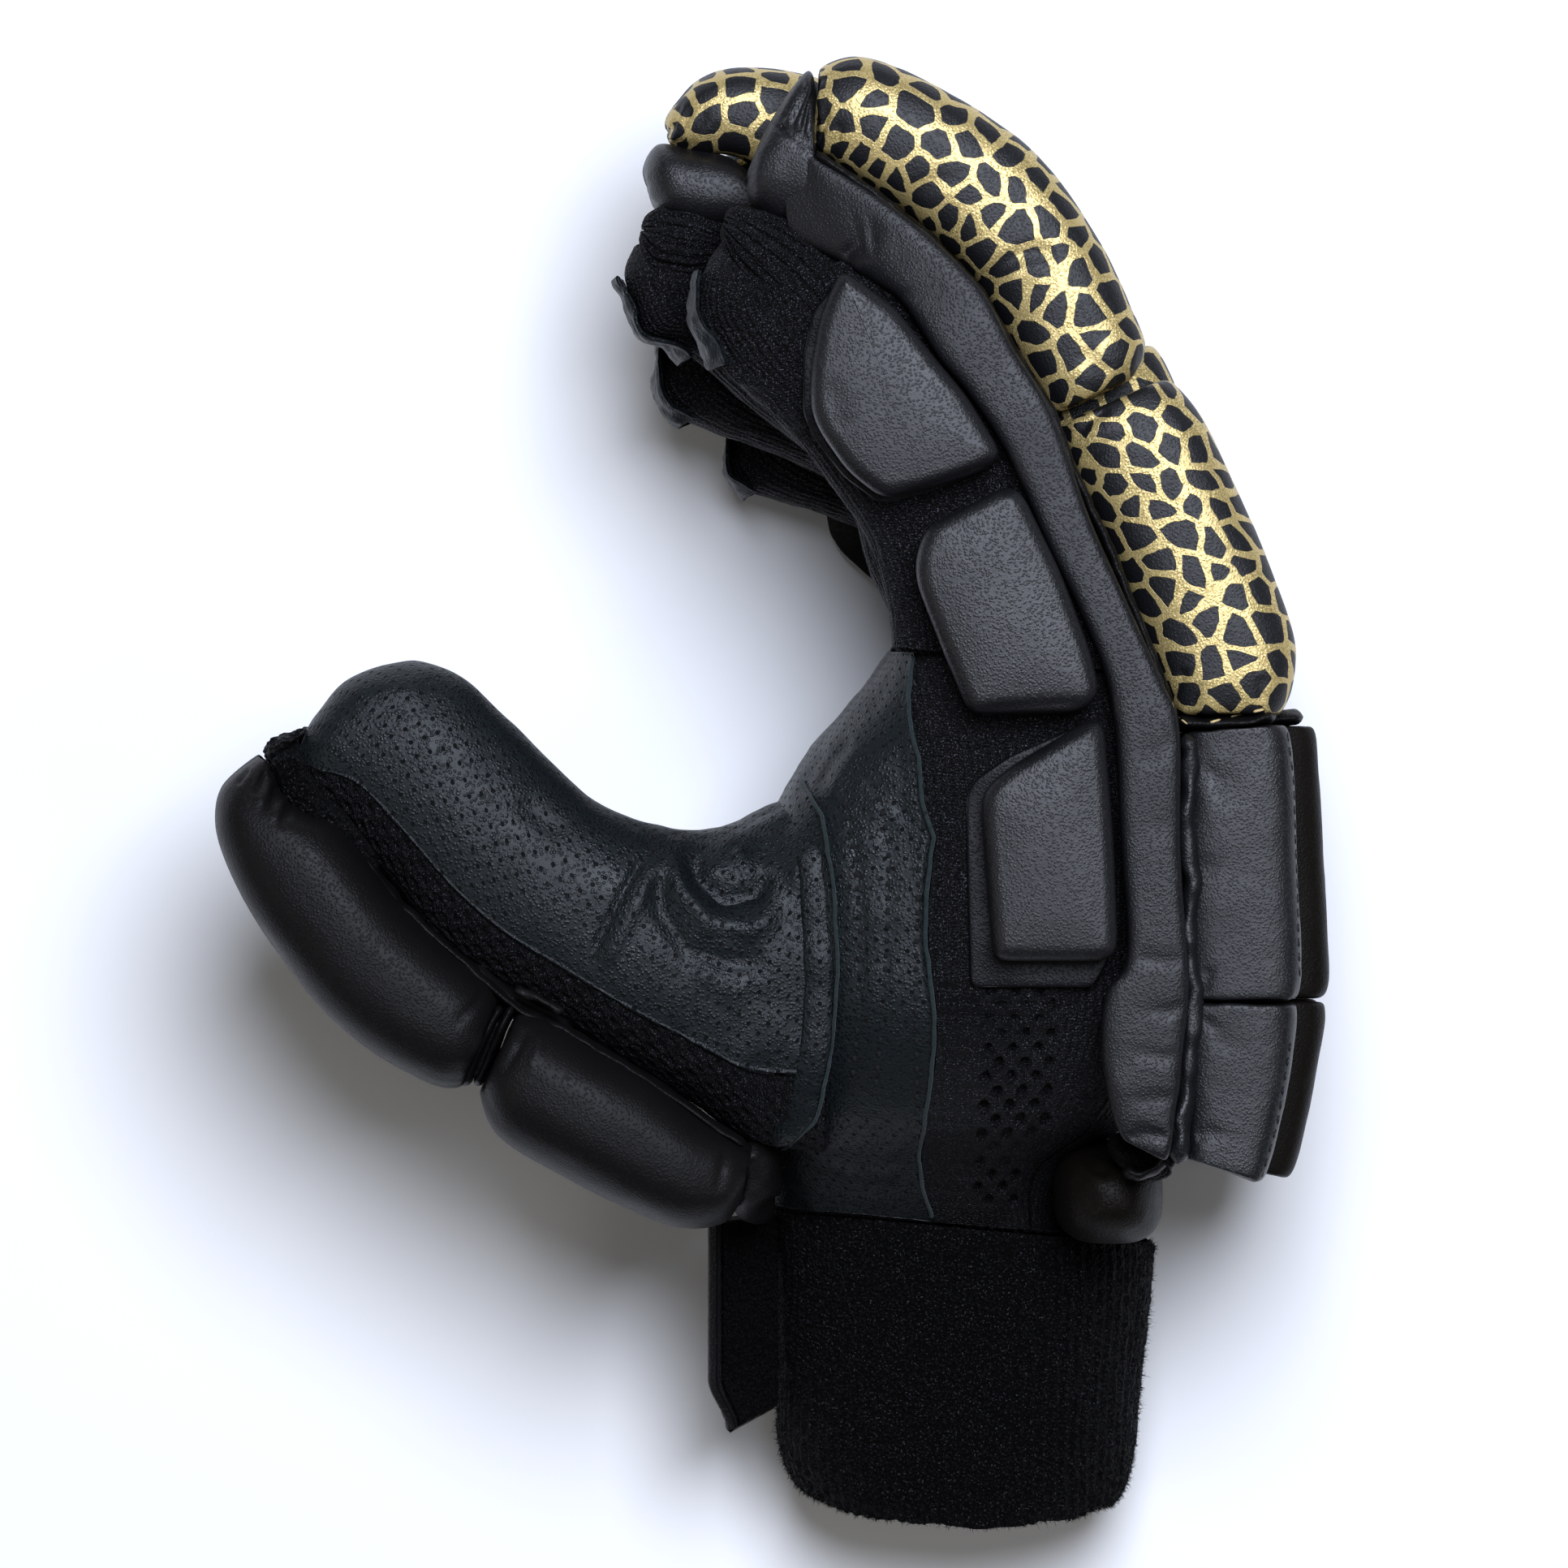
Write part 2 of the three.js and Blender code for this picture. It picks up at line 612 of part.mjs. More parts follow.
const THUMB_PANELS = rowsOf(['name', 'from', 'to', 'across', 'material'], [
  ['thumb_mesh', () => -THUMB_SEAM, () => THUMB_SEAM, 7, BLACK_MESH],
  ['thumb_leather', () => THUMB_SEAM + 2 * SEAM_GAP, () => 360 - THUMB_SEAM - 2 * SEAM_GAP, 10, PALM_LEATHER],
]);
for (const { name, from, to, across, material } of THUMB_PANELS) {
  const whole = panel(thumbLoft, { wall: STALL_WALL, along: 12, across, from, to });
  add(name, cutBy(whole, handSolid), material);
}
add('thumb_knit_end', roll(loftOf(KNIT_END), { along: 5, around: 10 }), TOWELLING);
add('thumb_distal_pad', roll(loftOf(THUMB_DISTAL), { along: 12 }), BLACK_LEATHER);
add('thumb_proximal_pad', roll(loftOf(THUMB_PROXIMAL), { along: 10 }), BLACK_LEATHER);

// Fingers
function fingerLoft(finger, rows, reach, slimmed = false) {
  const last = rows.length - 1;
  return loftOf(rows.map((row, i) => {
    const back = onFinger(finger, row.bx, row.by);
    const palm = onFinger(finger, row.px, row.py);
    const pull = slimmed ? between(SLIM_AT, finger.slim, i / last) : 0;
    const span = Math.hypot(back.x - palm.x, back.y - palm.y);
    const push = (finger.arch * (row.arch ?? 0)) / span;
    return {
      px: palm.x + (back.x - palm.x) * pull,
      py: palm.y + (back.y - palm.y) * pull,
      bx: back.x + (back.x - palm.x) * push,
      by: back.y + (back.y - palm.y) * push,
      centre: HAND_LOW + FINGER_PITCH * (finger.slot + 0.5),
      reach: reach * row.thin,
      square: row.square,
    };
  }));
}

for (const finger of FINGERS) {
  const reach = (FINGER_PITCH - ROLL_GAP) / 2;
  const isIndex = finger.name === 'index';
  const stall = fingerLoft(finger, isIndex ? STALL : WRAPPED_STALL, reach, true);
  add(`${finger.name}_stall`, cup(stall, { wall: STALL_WALL, along: 10, around: 12 }), BLACK_MESH);
  add(`${finger.name}_tip_leather`, panel(stall, {
    wall: PATCH_WALL,
    lift: PATCH_WALL + PATCH_GAP,
    along: 3,
    across: 2,
    from: () => PATCH.from,
    to: () => PATCH.to,
    start: PATCH.start,
    end: PATCH.end,
  }), PALM_LEATHER);
  const proximal = fingerLoft(finger, PROXIMAL_ROLL, reach);
  add(`${finger.name}_proximal_roll`, roll(proximal, { along: 8 }), GOLD_PRINT);
  const end = isIndex ? { roll: DISTAL_ROLL, cap: TIP_CAP } : { roll: WRAPPED_ROLL, cap: WRAPPED_CAP };
  const distal = fingerLoft(finger, end.roll, reach);
  add(`${finger.name}_distal_roll`, roll(distal, { along: 9 }), GOLD_PRINT);
  const cap = fingerLoft(finger, end.cap, reach);
  add(`${finger.name}_tip_cap`, roll(cap, { along: 7, around: 10 }), BLACK_LEATHER);
}

// Back of the hand
for (const finger of FINGERS) {
  for (const [row, table] of Object.entries(BACK_PADS)) {
    const rise = BACK_PAD_RISE[finger.name] / PER_UNIT_X;
    const loft = loftOf(table.map((q) => ({
      ...q,
      bx: q.bx + rise,
      centre: HAND_LOW + FINGER_PITCH * (finger.slot + 0.5),
      reach: (FINGER_PITCH - ROLL_GAP) / 2,
      square: 4.5,
    })));
    const pad = roll(loft, { along: 5, endSize: 0.82, endPower: 4 });
    add(`${finger.name}_back_pad_${row}`, pad, BLACK_LEATHER);
  }
}

function heelGeometry() {
  const body = new Body();
  const low = heightAt(HEEL_ROLL.low);
  const high = heightAt(HEEL_ROLL.high);
  const rings = steps(8).map((k) => {
    const along = (1 - Math.cos(Math.PI * k)) / 2;
    const shrink = endShrink(along, HEEL_ROLL.endSize, HEEL_ROLL.endPower);
    return body.ring(turnSteps(ROLL_AROUND).map((a) => [
      placeX(HEEL_ROLL.x) + HEEL_ROLL.reachX * PER_UNIT_X * shrink * Math.cos(a),
      placeY(HEEL_ROLL.y) + HEEL_ROLL.reachY * PER_UNIT_Y * shrink * Math.sin(a),
      low + (high - low) * along,
    ]));
  });
  for (let i = 0; i + 1 < rings.length; i += 1) {
    body.strip(rings[i], rings[i + 1]);
  }
  body.fan(rings[0], true);
  body.fan(rings.at(-1), false);
  return body.geometry();
}
add('heel_roll', heelGeometry(), BLACK_LEATHER);

// Outer sides: the index side as seen, the little-finger side as its reflection
const OUTER_SIDES = rowsOf(['name', 'finger', 'seat', 'sense'], [
  ['index', FINGERS[0], HAND_HIGH, 1],
  ['little', FINGERS[3], HAND_LOW, -1],
]);
for (const side of OUTER_SIDES) {
  const level = (height) => side.seat + side.sense * height;
  const outlineOf = (corners) => corners.map(([x, y]) => {
    const place = onFinger(side.finger, x, y);
    return [placeX(place.x), placeY(place.y)];
  });
  const bar = loftOf(SIDE_BAR.map((row) => {
    const palm = onFinger(side.finger, row.px, row.py);
    const back = onFinger(side.finger, row.bx, row.by);
    return {
      px: palm.x,
      py: palm.y,
      bx: back.x,
      by: back.y,
      centre: level(CLEAR + SIDE_BAR_THICKNESS / 2),
      reach: SIDE_BAR_THICKNESS / 2,
      square: 3.6,
    };
  }));
  add(`${side.name}_side_bar`, roll(bar, { along: 15, around: 8, endPower: 8, endSize: 0.6 }), BLACK_LEATHER);
  for (const [name, corners] of Object.entries(SIDE_PADS)) {
    const seat = BACKINGS[name] ? BACKING_THICKNESS + 2 * CLEAR : CLEAR;
    const pad = flatPad(outlineOf(corners), level(seat), level(SIDE_STACK), SIDE_PAD_EDGE);
    add(`${side.name}_side_pad_${name}`, pad, BLACK_LEATHER);
  }
  for (const [name, corners] of Object.entries(BACKINGS)) {
    const plate = flatPad(outlineOf(corners), level(CLEAR), level(CLEAR + BACKING_THICKNESS), 0);
    add(`${side.name}_side_backing_${name}`, plate, BLACK_LEATHER);
  }
}

// Free end of the wrist strap, a curved leaf
function strapGeometry() {
  const body = new Body();
  const leaf = (lift) => steps(6).map((v) => body.ring(steps(4).map((u) => {
    const x = placeX(STRAP.rootX + (STRAP.edgeX - STRAP.rootX) * u);
    const round = 1 - STRAP.corner * Math.abs(2 * v - 1) ** 3 * u;
    const y = placeY(STRAP.top + (STRAP.bottom - STRAP.top) * (0.5 + (v - 0.5) * round));
    const z = heightAt(STRAP.rootHeight + (STRAP.edgeHeight - STRAP.rootHeight) * u);
    return [x - STRAP.bulge * Math.sin(Math.PI * u) - lift, y, z - lift * STRAP.lean];
  })));
  const near = leaf(0);
  const far = leaf(STRAP_WALL);
  for (let i = 0; i + 1 < near.length; i += 1) {
    body.strip(near[i], near[i + 1], false);
    body.strip(far[i + 1], far[i], false);
  }
  body.strip(far[0], near[0], false);
  body.strip(near.at(-1), far.at(-1), false);
  body.strip(near.map((r) => r[0]), far.map((r) => r[0]), false);
  body.strip(far.map((r) => r.at(-1)), near.map((r) => r.at(-1)), false);
  return body.geometry();
}
add('wrist_strap', strapGeometry(), BLACK_LEATHER);

// Origin at the middle of the glove's footprint, on the surface that it lies on
const box = new THREE.Box3().setFromObject(glove);
glove.position.set(-(box.min.x + box.max.x) / 2, -(box.min.y + box.max.y) / 2, -box.min.z);

export default glove;
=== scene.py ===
"""Looks of a cricket batting glove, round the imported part. Lengths are in mm until a mesh is made."""
import math

import bpy
import numpy as np
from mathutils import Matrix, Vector
from mathutils.bvhtree import BVHTree


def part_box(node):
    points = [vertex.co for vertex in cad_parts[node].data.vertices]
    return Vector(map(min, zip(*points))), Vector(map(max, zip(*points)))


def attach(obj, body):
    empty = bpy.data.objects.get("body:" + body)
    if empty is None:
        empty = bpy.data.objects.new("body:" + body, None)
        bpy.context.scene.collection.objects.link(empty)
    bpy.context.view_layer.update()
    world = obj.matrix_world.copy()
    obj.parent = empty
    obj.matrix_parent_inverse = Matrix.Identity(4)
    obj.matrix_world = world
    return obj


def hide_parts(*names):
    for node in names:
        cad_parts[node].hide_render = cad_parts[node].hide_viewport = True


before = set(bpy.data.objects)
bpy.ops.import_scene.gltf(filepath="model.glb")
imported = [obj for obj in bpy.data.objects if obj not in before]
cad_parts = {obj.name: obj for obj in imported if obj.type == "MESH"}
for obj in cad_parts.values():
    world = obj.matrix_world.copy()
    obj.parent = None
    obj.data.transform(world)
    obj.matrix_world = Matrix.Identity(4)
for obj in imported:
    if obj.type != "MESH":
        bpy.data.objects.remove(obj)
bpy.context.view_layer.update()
MM = 0.001

# Sizes shared with the part

OUTLINE = {"left": 263, "right": 1643, "top": 63, "bottom": 1906}
GLOVE_LENGTH = 295
GLOVE_WIDTH = 220.8
UNIT_X = GLOVE_WIDTH / (OUTLINE["right"] - OUTLINE["left"])
UNIT_Y = GLOVE_LENGTH / (OUTLINE["bottom"] - OUTLINE["top"])
MIDDLE_X = (OUTLINE["left"] + OUTLINE["right"]) / 2
MIDDLE_Y = (OUTLINE["top"] + OUTLINE["bottom"]) / 2
FINGER_PITCH = 22
FINGER_REACH = 10.8
HAND_LOW = 11.6
HAND_BREADTH = 88
HAND_HIGH = HAND_LOW + HAND_BREADTH
STALL_WALL = 1.6
PANEL_WALL = 1.8
CUFF_WALL = 2.6

# Corners of one side pad fix where the part's own origin went
PAD_LEFT = 1208
PAD_FOOT = 1182
_low, _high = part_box("index_side_pad_hand")
SHIFT_X = _low.x / MM - (PAD_LEFT - MIDDLE_X) * UNIT_X
SHIFT_Y = _low.y / MM - (MIDDLE_Y - PAD_FOOT) * UNIT_Y


def place(x, y):
    """Picture units to the part's frame."""
    x, y = np.asarray(x, float), np.asarray(y, float)
    return (x - MIDDLE_X) * UNIT_X + SHIFT_X, (MIDDLE_Y - y) * UNIT_Y + SHIFT_Y


def picture_x(P):
    return (P[..., 0] - SHIFT_X) / UNIT_X + MIDDLE_X


def picture_y(P):
    return MIDDLE_Y - (P[..., 1] - SHIFT_Y) / UNIT_Y


def height_at(share):
    return HAND_LOW + share * HAND_BREADTH


def smooth(t):
    t = np.clip(t, 0, 1)
    return t * t * (3 - 2 * t)


# Fingers copy the index finger, turned and scaled about the knuckle

KNUCKLE = (1450, 880)
BEND_START = 800
BEND_END = 670
FINGERS = {
    "index": {"slot": 3, "scale": 1, "turn": 0, "slim": [0, 0, 0, 0, 0], "arch": 0, "rise": 0},
    "middle": {
        "slot": 2, "scale": 1.076, "turn": 7.2, "slim": [0, 0.31, 0.26, 0.21, 0], "arch": 1, "rise": 6.4,
    },
    "ring": {"slot": 1, "scale": 0.98, "turn": 7.6, "slim": [0, 0.37, 0.03, 0, 0], "arch": 0.7, "rise": 6.0},
    "little": {"slot": 0, "scale": 0.82, "turn": 10.1, "slim": [0, 0.36, 0, 0, 0], "arch": 0, "rise": 0.8},
}
SLIM_AT = [0, 0.3, 0.6, 0.8, 1]


def on_finger(finger, x, y):
    """A place on the index finger, in picture units, moved to the same place on another finger."""
    x, y = np.asarray(x, float), np.asarray(y, float)
    weight = smooth((BEND_START - y) / (BEND_START - BEND_END))
    scale = 1 + (finger["scale"] - 1) * weight
    turn = math.radians(finger["turn"]) * weight
    dx, dy = x - KNUCKLE[0], y - KNUCKLE[1]
    return (
        KNUCKLE[0] + scale * (dx * np.cos(turn) + dy * np.sin(turn)),
        KNUCKLE[1] + scale * (dy * np.cos(turn) - dx * np.sin(turn)),
    )


# Sections: palm end x, y and back end x, y in picture units, then the section's own values

HAND = [
    [948, 1495, 1318, 1530, -0.130, 0.50, 2.4],
    [940, 1440, 1322, 1450, -0.095, 0.66, 2.5],
    [932, 1370, 1400, 1385, -0.045, 0.86, 2.7],
    [930, 1260, 1452, 1275, 0.000, 0.98, 3.0],
    [922, 1140, 1455, 1155, 0.000, 1.00, 3.2],
    [945, 1020, 1455, 1040, 0.000, 1.00, 3.2],
    [1000, 925, 1450, 950, 0.000, 1.00, 3.2],
    [1060, 855, 1440, 885, 0.000, 1.00, 3.4],
    [1100, 801, 1420, 837, 0.000, 1.00, 3.8],
]
SEAM_SHARES = [0, 0.25, 0.62, 0.75, 0.88, 1]
SEAM_INDEX = [86, 93, 94, 104, 122, 134]
SEAM_LITTLE = [258, 258, 258, 256, 250, 246]
SEAM_BACK = 43
CUFF = [
    [950, 1500, 1432, 1545, -0.150, 0.50, 2.3],
    [956, 1600, 1427, 1625, -0.155, 0.48, 2.3],
    [957, 1710, 1417, 1722, -0.160, 0.45, 2.3],
    [959, 1800, 1409, 1810, -0.160, 0.43, 2.3],
    [978, 1846, 1396, 1858, -0.155, 0.41, 2.3],
    [1000, 1866, 1378, 1880, -0.150, 0.39, 2.3],
]
CUFF_HEM_BOW = 4.6
STALL = [
    [1101, 797, 1420, 832, 1.00, 4.5],
    [1092, 730, 1387, 757, 1.00, 3.6],
    [1068, 660, 1352, 670, 1.00, 3.2],
    [1030, 605, 1318, 588, 1.00, 3.0],
    [985, 545, 1286, 505, 1.00, 2.8],
    [925, 487, 1251, 436, 1.00, 2.8],
    [888, 448, 1199, 356, 1.00, 2.7],
    [868, 416, 1132, 286, 0.98, 2.6],
    [857, 380, 1046, 322, 0.92, 2.5],
    [868, 335, 985, 306, 0.80, 2.3],
    [888, 300, 938, 285, 0.55, 2.1],
]
WRAPPED_STALL = STALL[:9] + [
    [868, 335, 985, 300, 0.88, 2.4],
    [878, 297, 958, 270, 0.76, 2.3],
    [900, 264, 932, 255, 0.50, 2.1],
]
PROXIMAL_ROLL = [
    [1446, 880, 1582, 882, 0.86, 2.8, 0],
    [1432, 836, 1595, 838, 0.98, 2.8, 0],
    [1408, 775, 1594, 778, 1.00, 2.7, 0],
    [1370, 680, 1562, 686, 1.00, 2.7, 0],
    [1328, 590, 1518, 588, 1.00, 2.7, 6],
    [1312, 545, 1482, 516, 0.97, 2.7, 24],
    [1304, 522, 1443, 462, 0.84, 2.6, 50],
]
DISTAL_ROLL = [
    [1300, 510, 1398, 466, 0.84, 2.6],
    [1284, 484, 1412, 428, 0.97, 2.7],
    [1252, 432, 1396, 382, 1.00, 2.7],
    [1208, 352, 1352, 290, 1.00, 2.7],
    [1150, 290, 1272, 182, 1.00, 2.7],
    [1084, 238, 1155, 105, 1.00, 2.6],
    [1036, 206, 1066, 68, 0.98, 2.5],
    [1006, 190, 1008, 80, 0.84, 2.4],
]
TIP_CAP = [
    [1098, 284, 1092, 256, 0.70, 2.4],
    [1052, 300, 1046, 224, 0.94, 2.6],
    [1016, 300, 1004, 205, 0.97, 2.6],
    [990, 292, 1006, 118, 0.97, 2.5],
    [972, 282, 994, 88, 0.96, 2.4],
    [948, 270, 958, 134, 0.90, 2.4],
    [930, 256, 936, 172, 0.80, 2.3],
    [919, 240, 921, 206, 0.60, 2.2],
]
WRAPPED_ROLL = DISTAL_ROLL[:6] + [
    [1034, 180, 1060, 74, 1.00, 2.6],
    [984, 168, 998, 80, 0.97, 2.5],
    [956, 158, 952, 116, 0.84, 2.4],
]
WRAPPED_CAP = [
    [1100, 273, 1094, 247, 0.70, 2.4],
    [1058, 263, 1052, 213, 0.94, 2.6],
    [1024, 251, 1024, 185, 0.97, 2.6],
    [986, 245, 980, 169, 0.97, 2.5],
    [950, 235, 942, 160, 0.92, 2.4],
    [926, 219, 920, 181, 0.62, 2.3],
]
SIDE_BAR = [
    [1040, 324, 1006, 196],
    [1072, 344, 1060, 230],
    [1112, 374, 1136, 287],
    [1156, 441, 1206, 358],
    [1194, 487, 1247, 432],
    [1243, 564, 1294, 511],
    [1286, 660, 1337, 633],
    [1330, 752, 1379, 728],
    [1360, 828, 1428, 838],
    [1374, 904, 1450, 897],
    [1381, 1038, 1451, 1046],
    [1388, 1176, 1460, 1178],
    [1362, 1222, 1462, 1226],
    [1355, 1300, 1456, 1308],
    [1370, 1398, 1446, 1434],
]
THUMB = [
    [1020, 962, 1016, 1424, 0.42, 0.95, 2.6],
    [935, 1002, 927, 1411, 0.44, 0.96, 2.5],
    [870, 1022, 852, 1361, 0.49, 0.97, 2.5],
    [800, 1014, 762, 1307, 0.54, 0.98, 2.4],
    [735, 988, 678, 1252, 0.58, 0.98, 2.4],
    [682, 944, 602, 1211, 0.60, 0.98, 2.3],
    [628, 890, 536, 1157, 0.62, 0.98, 2.3],
    [566, 834, 466, 1073, 0.64, 0.98, 2.3],
    [502, 813, 420, 1012, 0.66, 0.97, 2.3],
    [430, 836, 380, 985, 0.69, 0.95, 2.2],
    [384, 884, 354, 952, 0.75, 0.90, 2.1],
]
THUMB_SEAM = 61
THUMB_DISTAL = [
    [338, 944, 318, 930, 0.72, 0.92, 2.3],
    [347, 974, 273, 972, 0.66, 0.98, 2.5],
    [376, 1000, 268, 1030, 0.62, 1.02, 2.7],
    [420, 1022, 308, 1122, 0.60, 1.04, 2.8],
    [489, 1111, 382, 1226, 0.59, 1.05, 2.8],
    [537, 1158, 457, 1292, 0.58, 1.05, 2.8],
    [596, 1208, 530, 1334, 0.58, 1.04, 2.8],
    [616, 1234, 570, 1340, 0.60, 1.01, 2.6],
]
THUMB_PROXIMAL = [
    [638, 1246, 588, 1350, 0.58, 1.01, 2.6],
    [676, 1258, 616, 1400, 0.56, 1.04, 2.8],
    [740, 1297, 694, 1447, 0.54, 1.05, 2.8],
    [801, 1330, 762, 1484, 0.52, 1.04, 2.8],
    [858, 1374, 832, 1512, 0.50, 1.03, 2.8],
    [906, 1404, 890, 1508, 0.50, 1.00, 2.7],
    [927, 1418, 914, 1480, 0.52, 0.96, 2.5],
]
KNIT_END = [
    [377, 894, 334, 909, 0.76, 0.88, 2.2],
    [371, 908, 332, 926, 0.72, 0.92, 2.2],
    [356, 924, 338, 938, 0.76, 0.90, 2.2],
]
BACK_PADS = {
    "upper": [
        [1455, 902, 1576, 892],
        [1454, 925, 1592, 914],
        [1454, 1060, 1601, 1060],
        [1455, 1190, 1606, 1196],
        [1458, 1233, 1598, 1233],
    ],
    "lower": [
        [1458, 1236, 1600, 1236],
        [1456, 1262, 1600, 1268],
        [1455, 1340, 1586, 1352],
        [1456, 1410, 1566, 1434],
        [1457, 1428, 1554, 1458],
    ],
}
SIDE_PADS = {
    "tip": [[1036, 334], [1103, 384], [1152, 446], [1190, 491], [1234, 564], [1210, 582], [1147, 603],
            [1088, 616], [1045, 582], [1011, 534], [1000, 509], [1000, 455], [1010, 395]],
    "middle": [[1240, 600], [1256, 606], [1304, 705], [1340, 800], [1354, 855], [1345, 866], [1328, 878],
               [1194, 880], [1160, 798], [1129, 718], [1128, 689], [1141, 651]],
    "hand": [[1347, 884], [1358, 890], [1366, 990], [1371, 1062], [1375, 1172], [1366, 1182], [1223, 1182],
             [1215, 1086], [1208, 990], [1213, 971], [1247, 943]],
}
BACKINGS = {
    "tip": [[1034, 345], [1098, 384], [1184, 489], [1228, 562], [1205, 584], [1147, 606], [1086, 622],
            [1040, 588], [1003, 540], [990, 509], [990, 440], [1002, 385]],
    "hand": [[1340, 890], [1350, 895], [1360, 990], [1364, 1062], [1366, 1180], [1346, 1215], [1196, 1215],
             [1192, 1090], [1190, 985], [1200, 962], [1243, 932]],
}
HEEL_ROLL = {"x": 1372, "y": 1478, "reach_x": 70, "reach_y": 64, "low": -0.07, "high": 0.80, "top": 3}
STRAP = {"root_x": 957, "edge_x": 881, "top": 1511, "tall": 240, "root": 0.26, "edge": 0.42}
STRAP_CUT = {"from": 0.76, "inset": 23, "slant": 20, "lean": 5}

# Lofts


def loft_of(rows, rests=False, bow=0.0):
    """rows: palm x, palm y, back x, back y (picture units), centre, reach (mm), square."""
    rows = np.array(rows, float)
    rows[:, 0], rows[:, 1] = place(rows[:, 0], rows[:, 1])
    rows[:, 2], rows[:, 3] = place(rows[:, 2], rows[:, 3])
    return {"rows": rows, "rests": rests, "bow": bow}


def level_loft(table, **more):
    rows = [
        [*q[:4], height_at((q[4] + q[5]) / 2), (q[5] - q[4]) * HAND_BREADTH / 2, q[6]] for q in table
    ]
    return loft_of(rows, **more)


def section_at(loft, s):
    rows = loft["rows"]
    last = len(rows) - 1
    i = np.minimum(np.floor(s * last).astype(int), last - 1)
    t = (s * last - i)[..., None]
    a, b, c, d = (rows[np.clip(i + k, 0, last)] for k in (-1, 0, 1, 2))
    t2, t3 = t * t, t * t * t
    return (
        (2 * t3 - 3 * t2 + 1) * b + (t3 - 2 * t2 + t) * (c - a) / 2
        + (3 * t2 - 2 * t3) * c + (t3 - t2) * (d - b) / 2
    )


def points_on(loft, s, angle, grow=0.0, shrink=1.0):
    """Points at shares s along the loft and at angles round it: 0 is the back, pi/2 the index side."""
    s, angle, grow, shrink = np.broadcast_arrays(*(np.asarray(v, float) for v in (s, angle, grow, shrink)))
    q = section_at(loft, s)
    dx, dy = q[..., 2] - q[..., 0], q[..., 3] - q[..., 1]
    span = np.hypot(dx, dy)
    power = 2 / q[..., 6]
    c, d = np.cos(angle), np.sin(angle)
    across = (span / 2 + grow) * shrink * np.sign(c) * np.abs(c) ** power
    up = (q[..., 5] + grow) * shrink * np.sign(d) * np.abs(d) ** power
    z = q[..., 4] + up
    if loft["rests"]:
        z = np.maximum(z, -grow)
    bow = loft["bow"] * smooth(s) * np.maximum(0, d) ** 2
    return np.stack([
        (q[..., 0] + q[..., 2]) / 2 + dx / span * across,
        (q[..., 1] + q[..., 3]) / 2 + dy / span * across - bow,
        z,
    ], -1)


def finger_centre(finger):
    return HAND_LOW + FINGER_PITCH * (finger["slot"] + 0.5)


def finger_loft(finger, table, slimmed=False):
    last = len(table) - 1
    rows = []
    for i, q in enumerate(table):
        bx, by = on_finger(finger, q[2], q[3])
        px, py = on_finger(finger, q[0], q[1])
        pull = np.interp(i / last, SLIM_AT, finger["slim"]) if slimmed else 0
        span = math.hypot(bx - px, by - py)
        push = finger["arch"] * (q[6] if len(q) > 6 else 0) / span
        rows.append([
            px + (bx - px) * pull, py + (by - py) * pull, bx + (bx - px) * push, by + (by - py) * push,
            finger_centre(finger), FINGER_REACH * q[4], q[5],
        ])
    return loft_of(rows)


# Noise and relief

_lattice = np.random.default_rng(7).random((32, 32, 32))


def noise(points, size, seed=0):
    """Smooth noise from -1 to 1 with features of the given size."""
    p = points / size + np.array([17.3, 5.1, 9.7]) * (seed + 1)
    i = np.floor(p).astype(int)
    f = p - i
    f = f * f * (3 - 2 * f)
    total = 0
    for corner in range(8):
        o = np.array([corner & 1, corner >> 1 & 1, corner >> 2 & 1])
        w = np.prod(np.where(o == 1, f, 1 - f), -1)
        n = (i + o) % 32
        total = total + w * _lattice[n[..., 0], n[..., 1], n[..., 2]]
    return 2 * total - 1


def distance_along(q):
    return np.concatenate([[0], np.cumsum(np.linalg.norm(np.diff(q, axis=0), axis=1))])


def normals_of(P, closed):
    if closed:
        around = np.roll(P, -1, 1) - np.roll(P, 1, 1)
    else:
        around = np.gradient(P, axis=1)
    along = np.gradient(P, axis=0)
    n = np.cross(around, along)
    n /= np.linalg.norm(n, axis=-1, keepdims=True) + 1e-9
    return n


def points_away(P, n, centre):
    return (n * (P - centre)).sum() > 0


def outward_normals(P):
    """Normals of a closed grid, away from its middle."""
    n = normals_of(P, True)
    return n if points_away(P, n, P.mean((0, 1))) else -n


def to_line(points, line):
    """Distance from points (in plan, mm) to a picture-unit polyline, and the share along it."""
    xs, ys = place(*np.array(line, float).T)
    q = np.stack([xs, ys], -1)
    p = points[..., :2]
    best = np.full(p.shape[:-1], 1e9)
    share = np.zeros(p.shape[:-1])
    before = distance_along(q)
    lengths = np.diff(before)
    for k in range(len(q) - 1):
        d = q[k + 1] - q[k]
        t = np.clip(((p - q[k]) @ d) / (d @ d), 0, 1)
        dist = np.linalg.norm(p - q[k] - t[..., None] * d, axis=-1)
        near = dist < best
        best = np.where(near, dist, best)
        share = np.where(near, (before[k] + t * lengths[k]) / before[-1], share)
    return best, share


def strokes(points, normals, marks):
    """Wrinkles on the side that faces up: each is (line, width in picture units, height in mm)."""
    total = np.zeros(points.shape[:-1])
    facing = smooth((normals[..., 2] + 0.1) / 0.5)
    for line, width, tall in marks:
        d, share = to_line(points, line)
        taper = smooth(share * 5) * smooth((1 - share) * 5)
        total += tall * np.exp(-(d / (width * UNIT_X)) ** 2) * taper
    return total * facing


# Meshes


built = {}


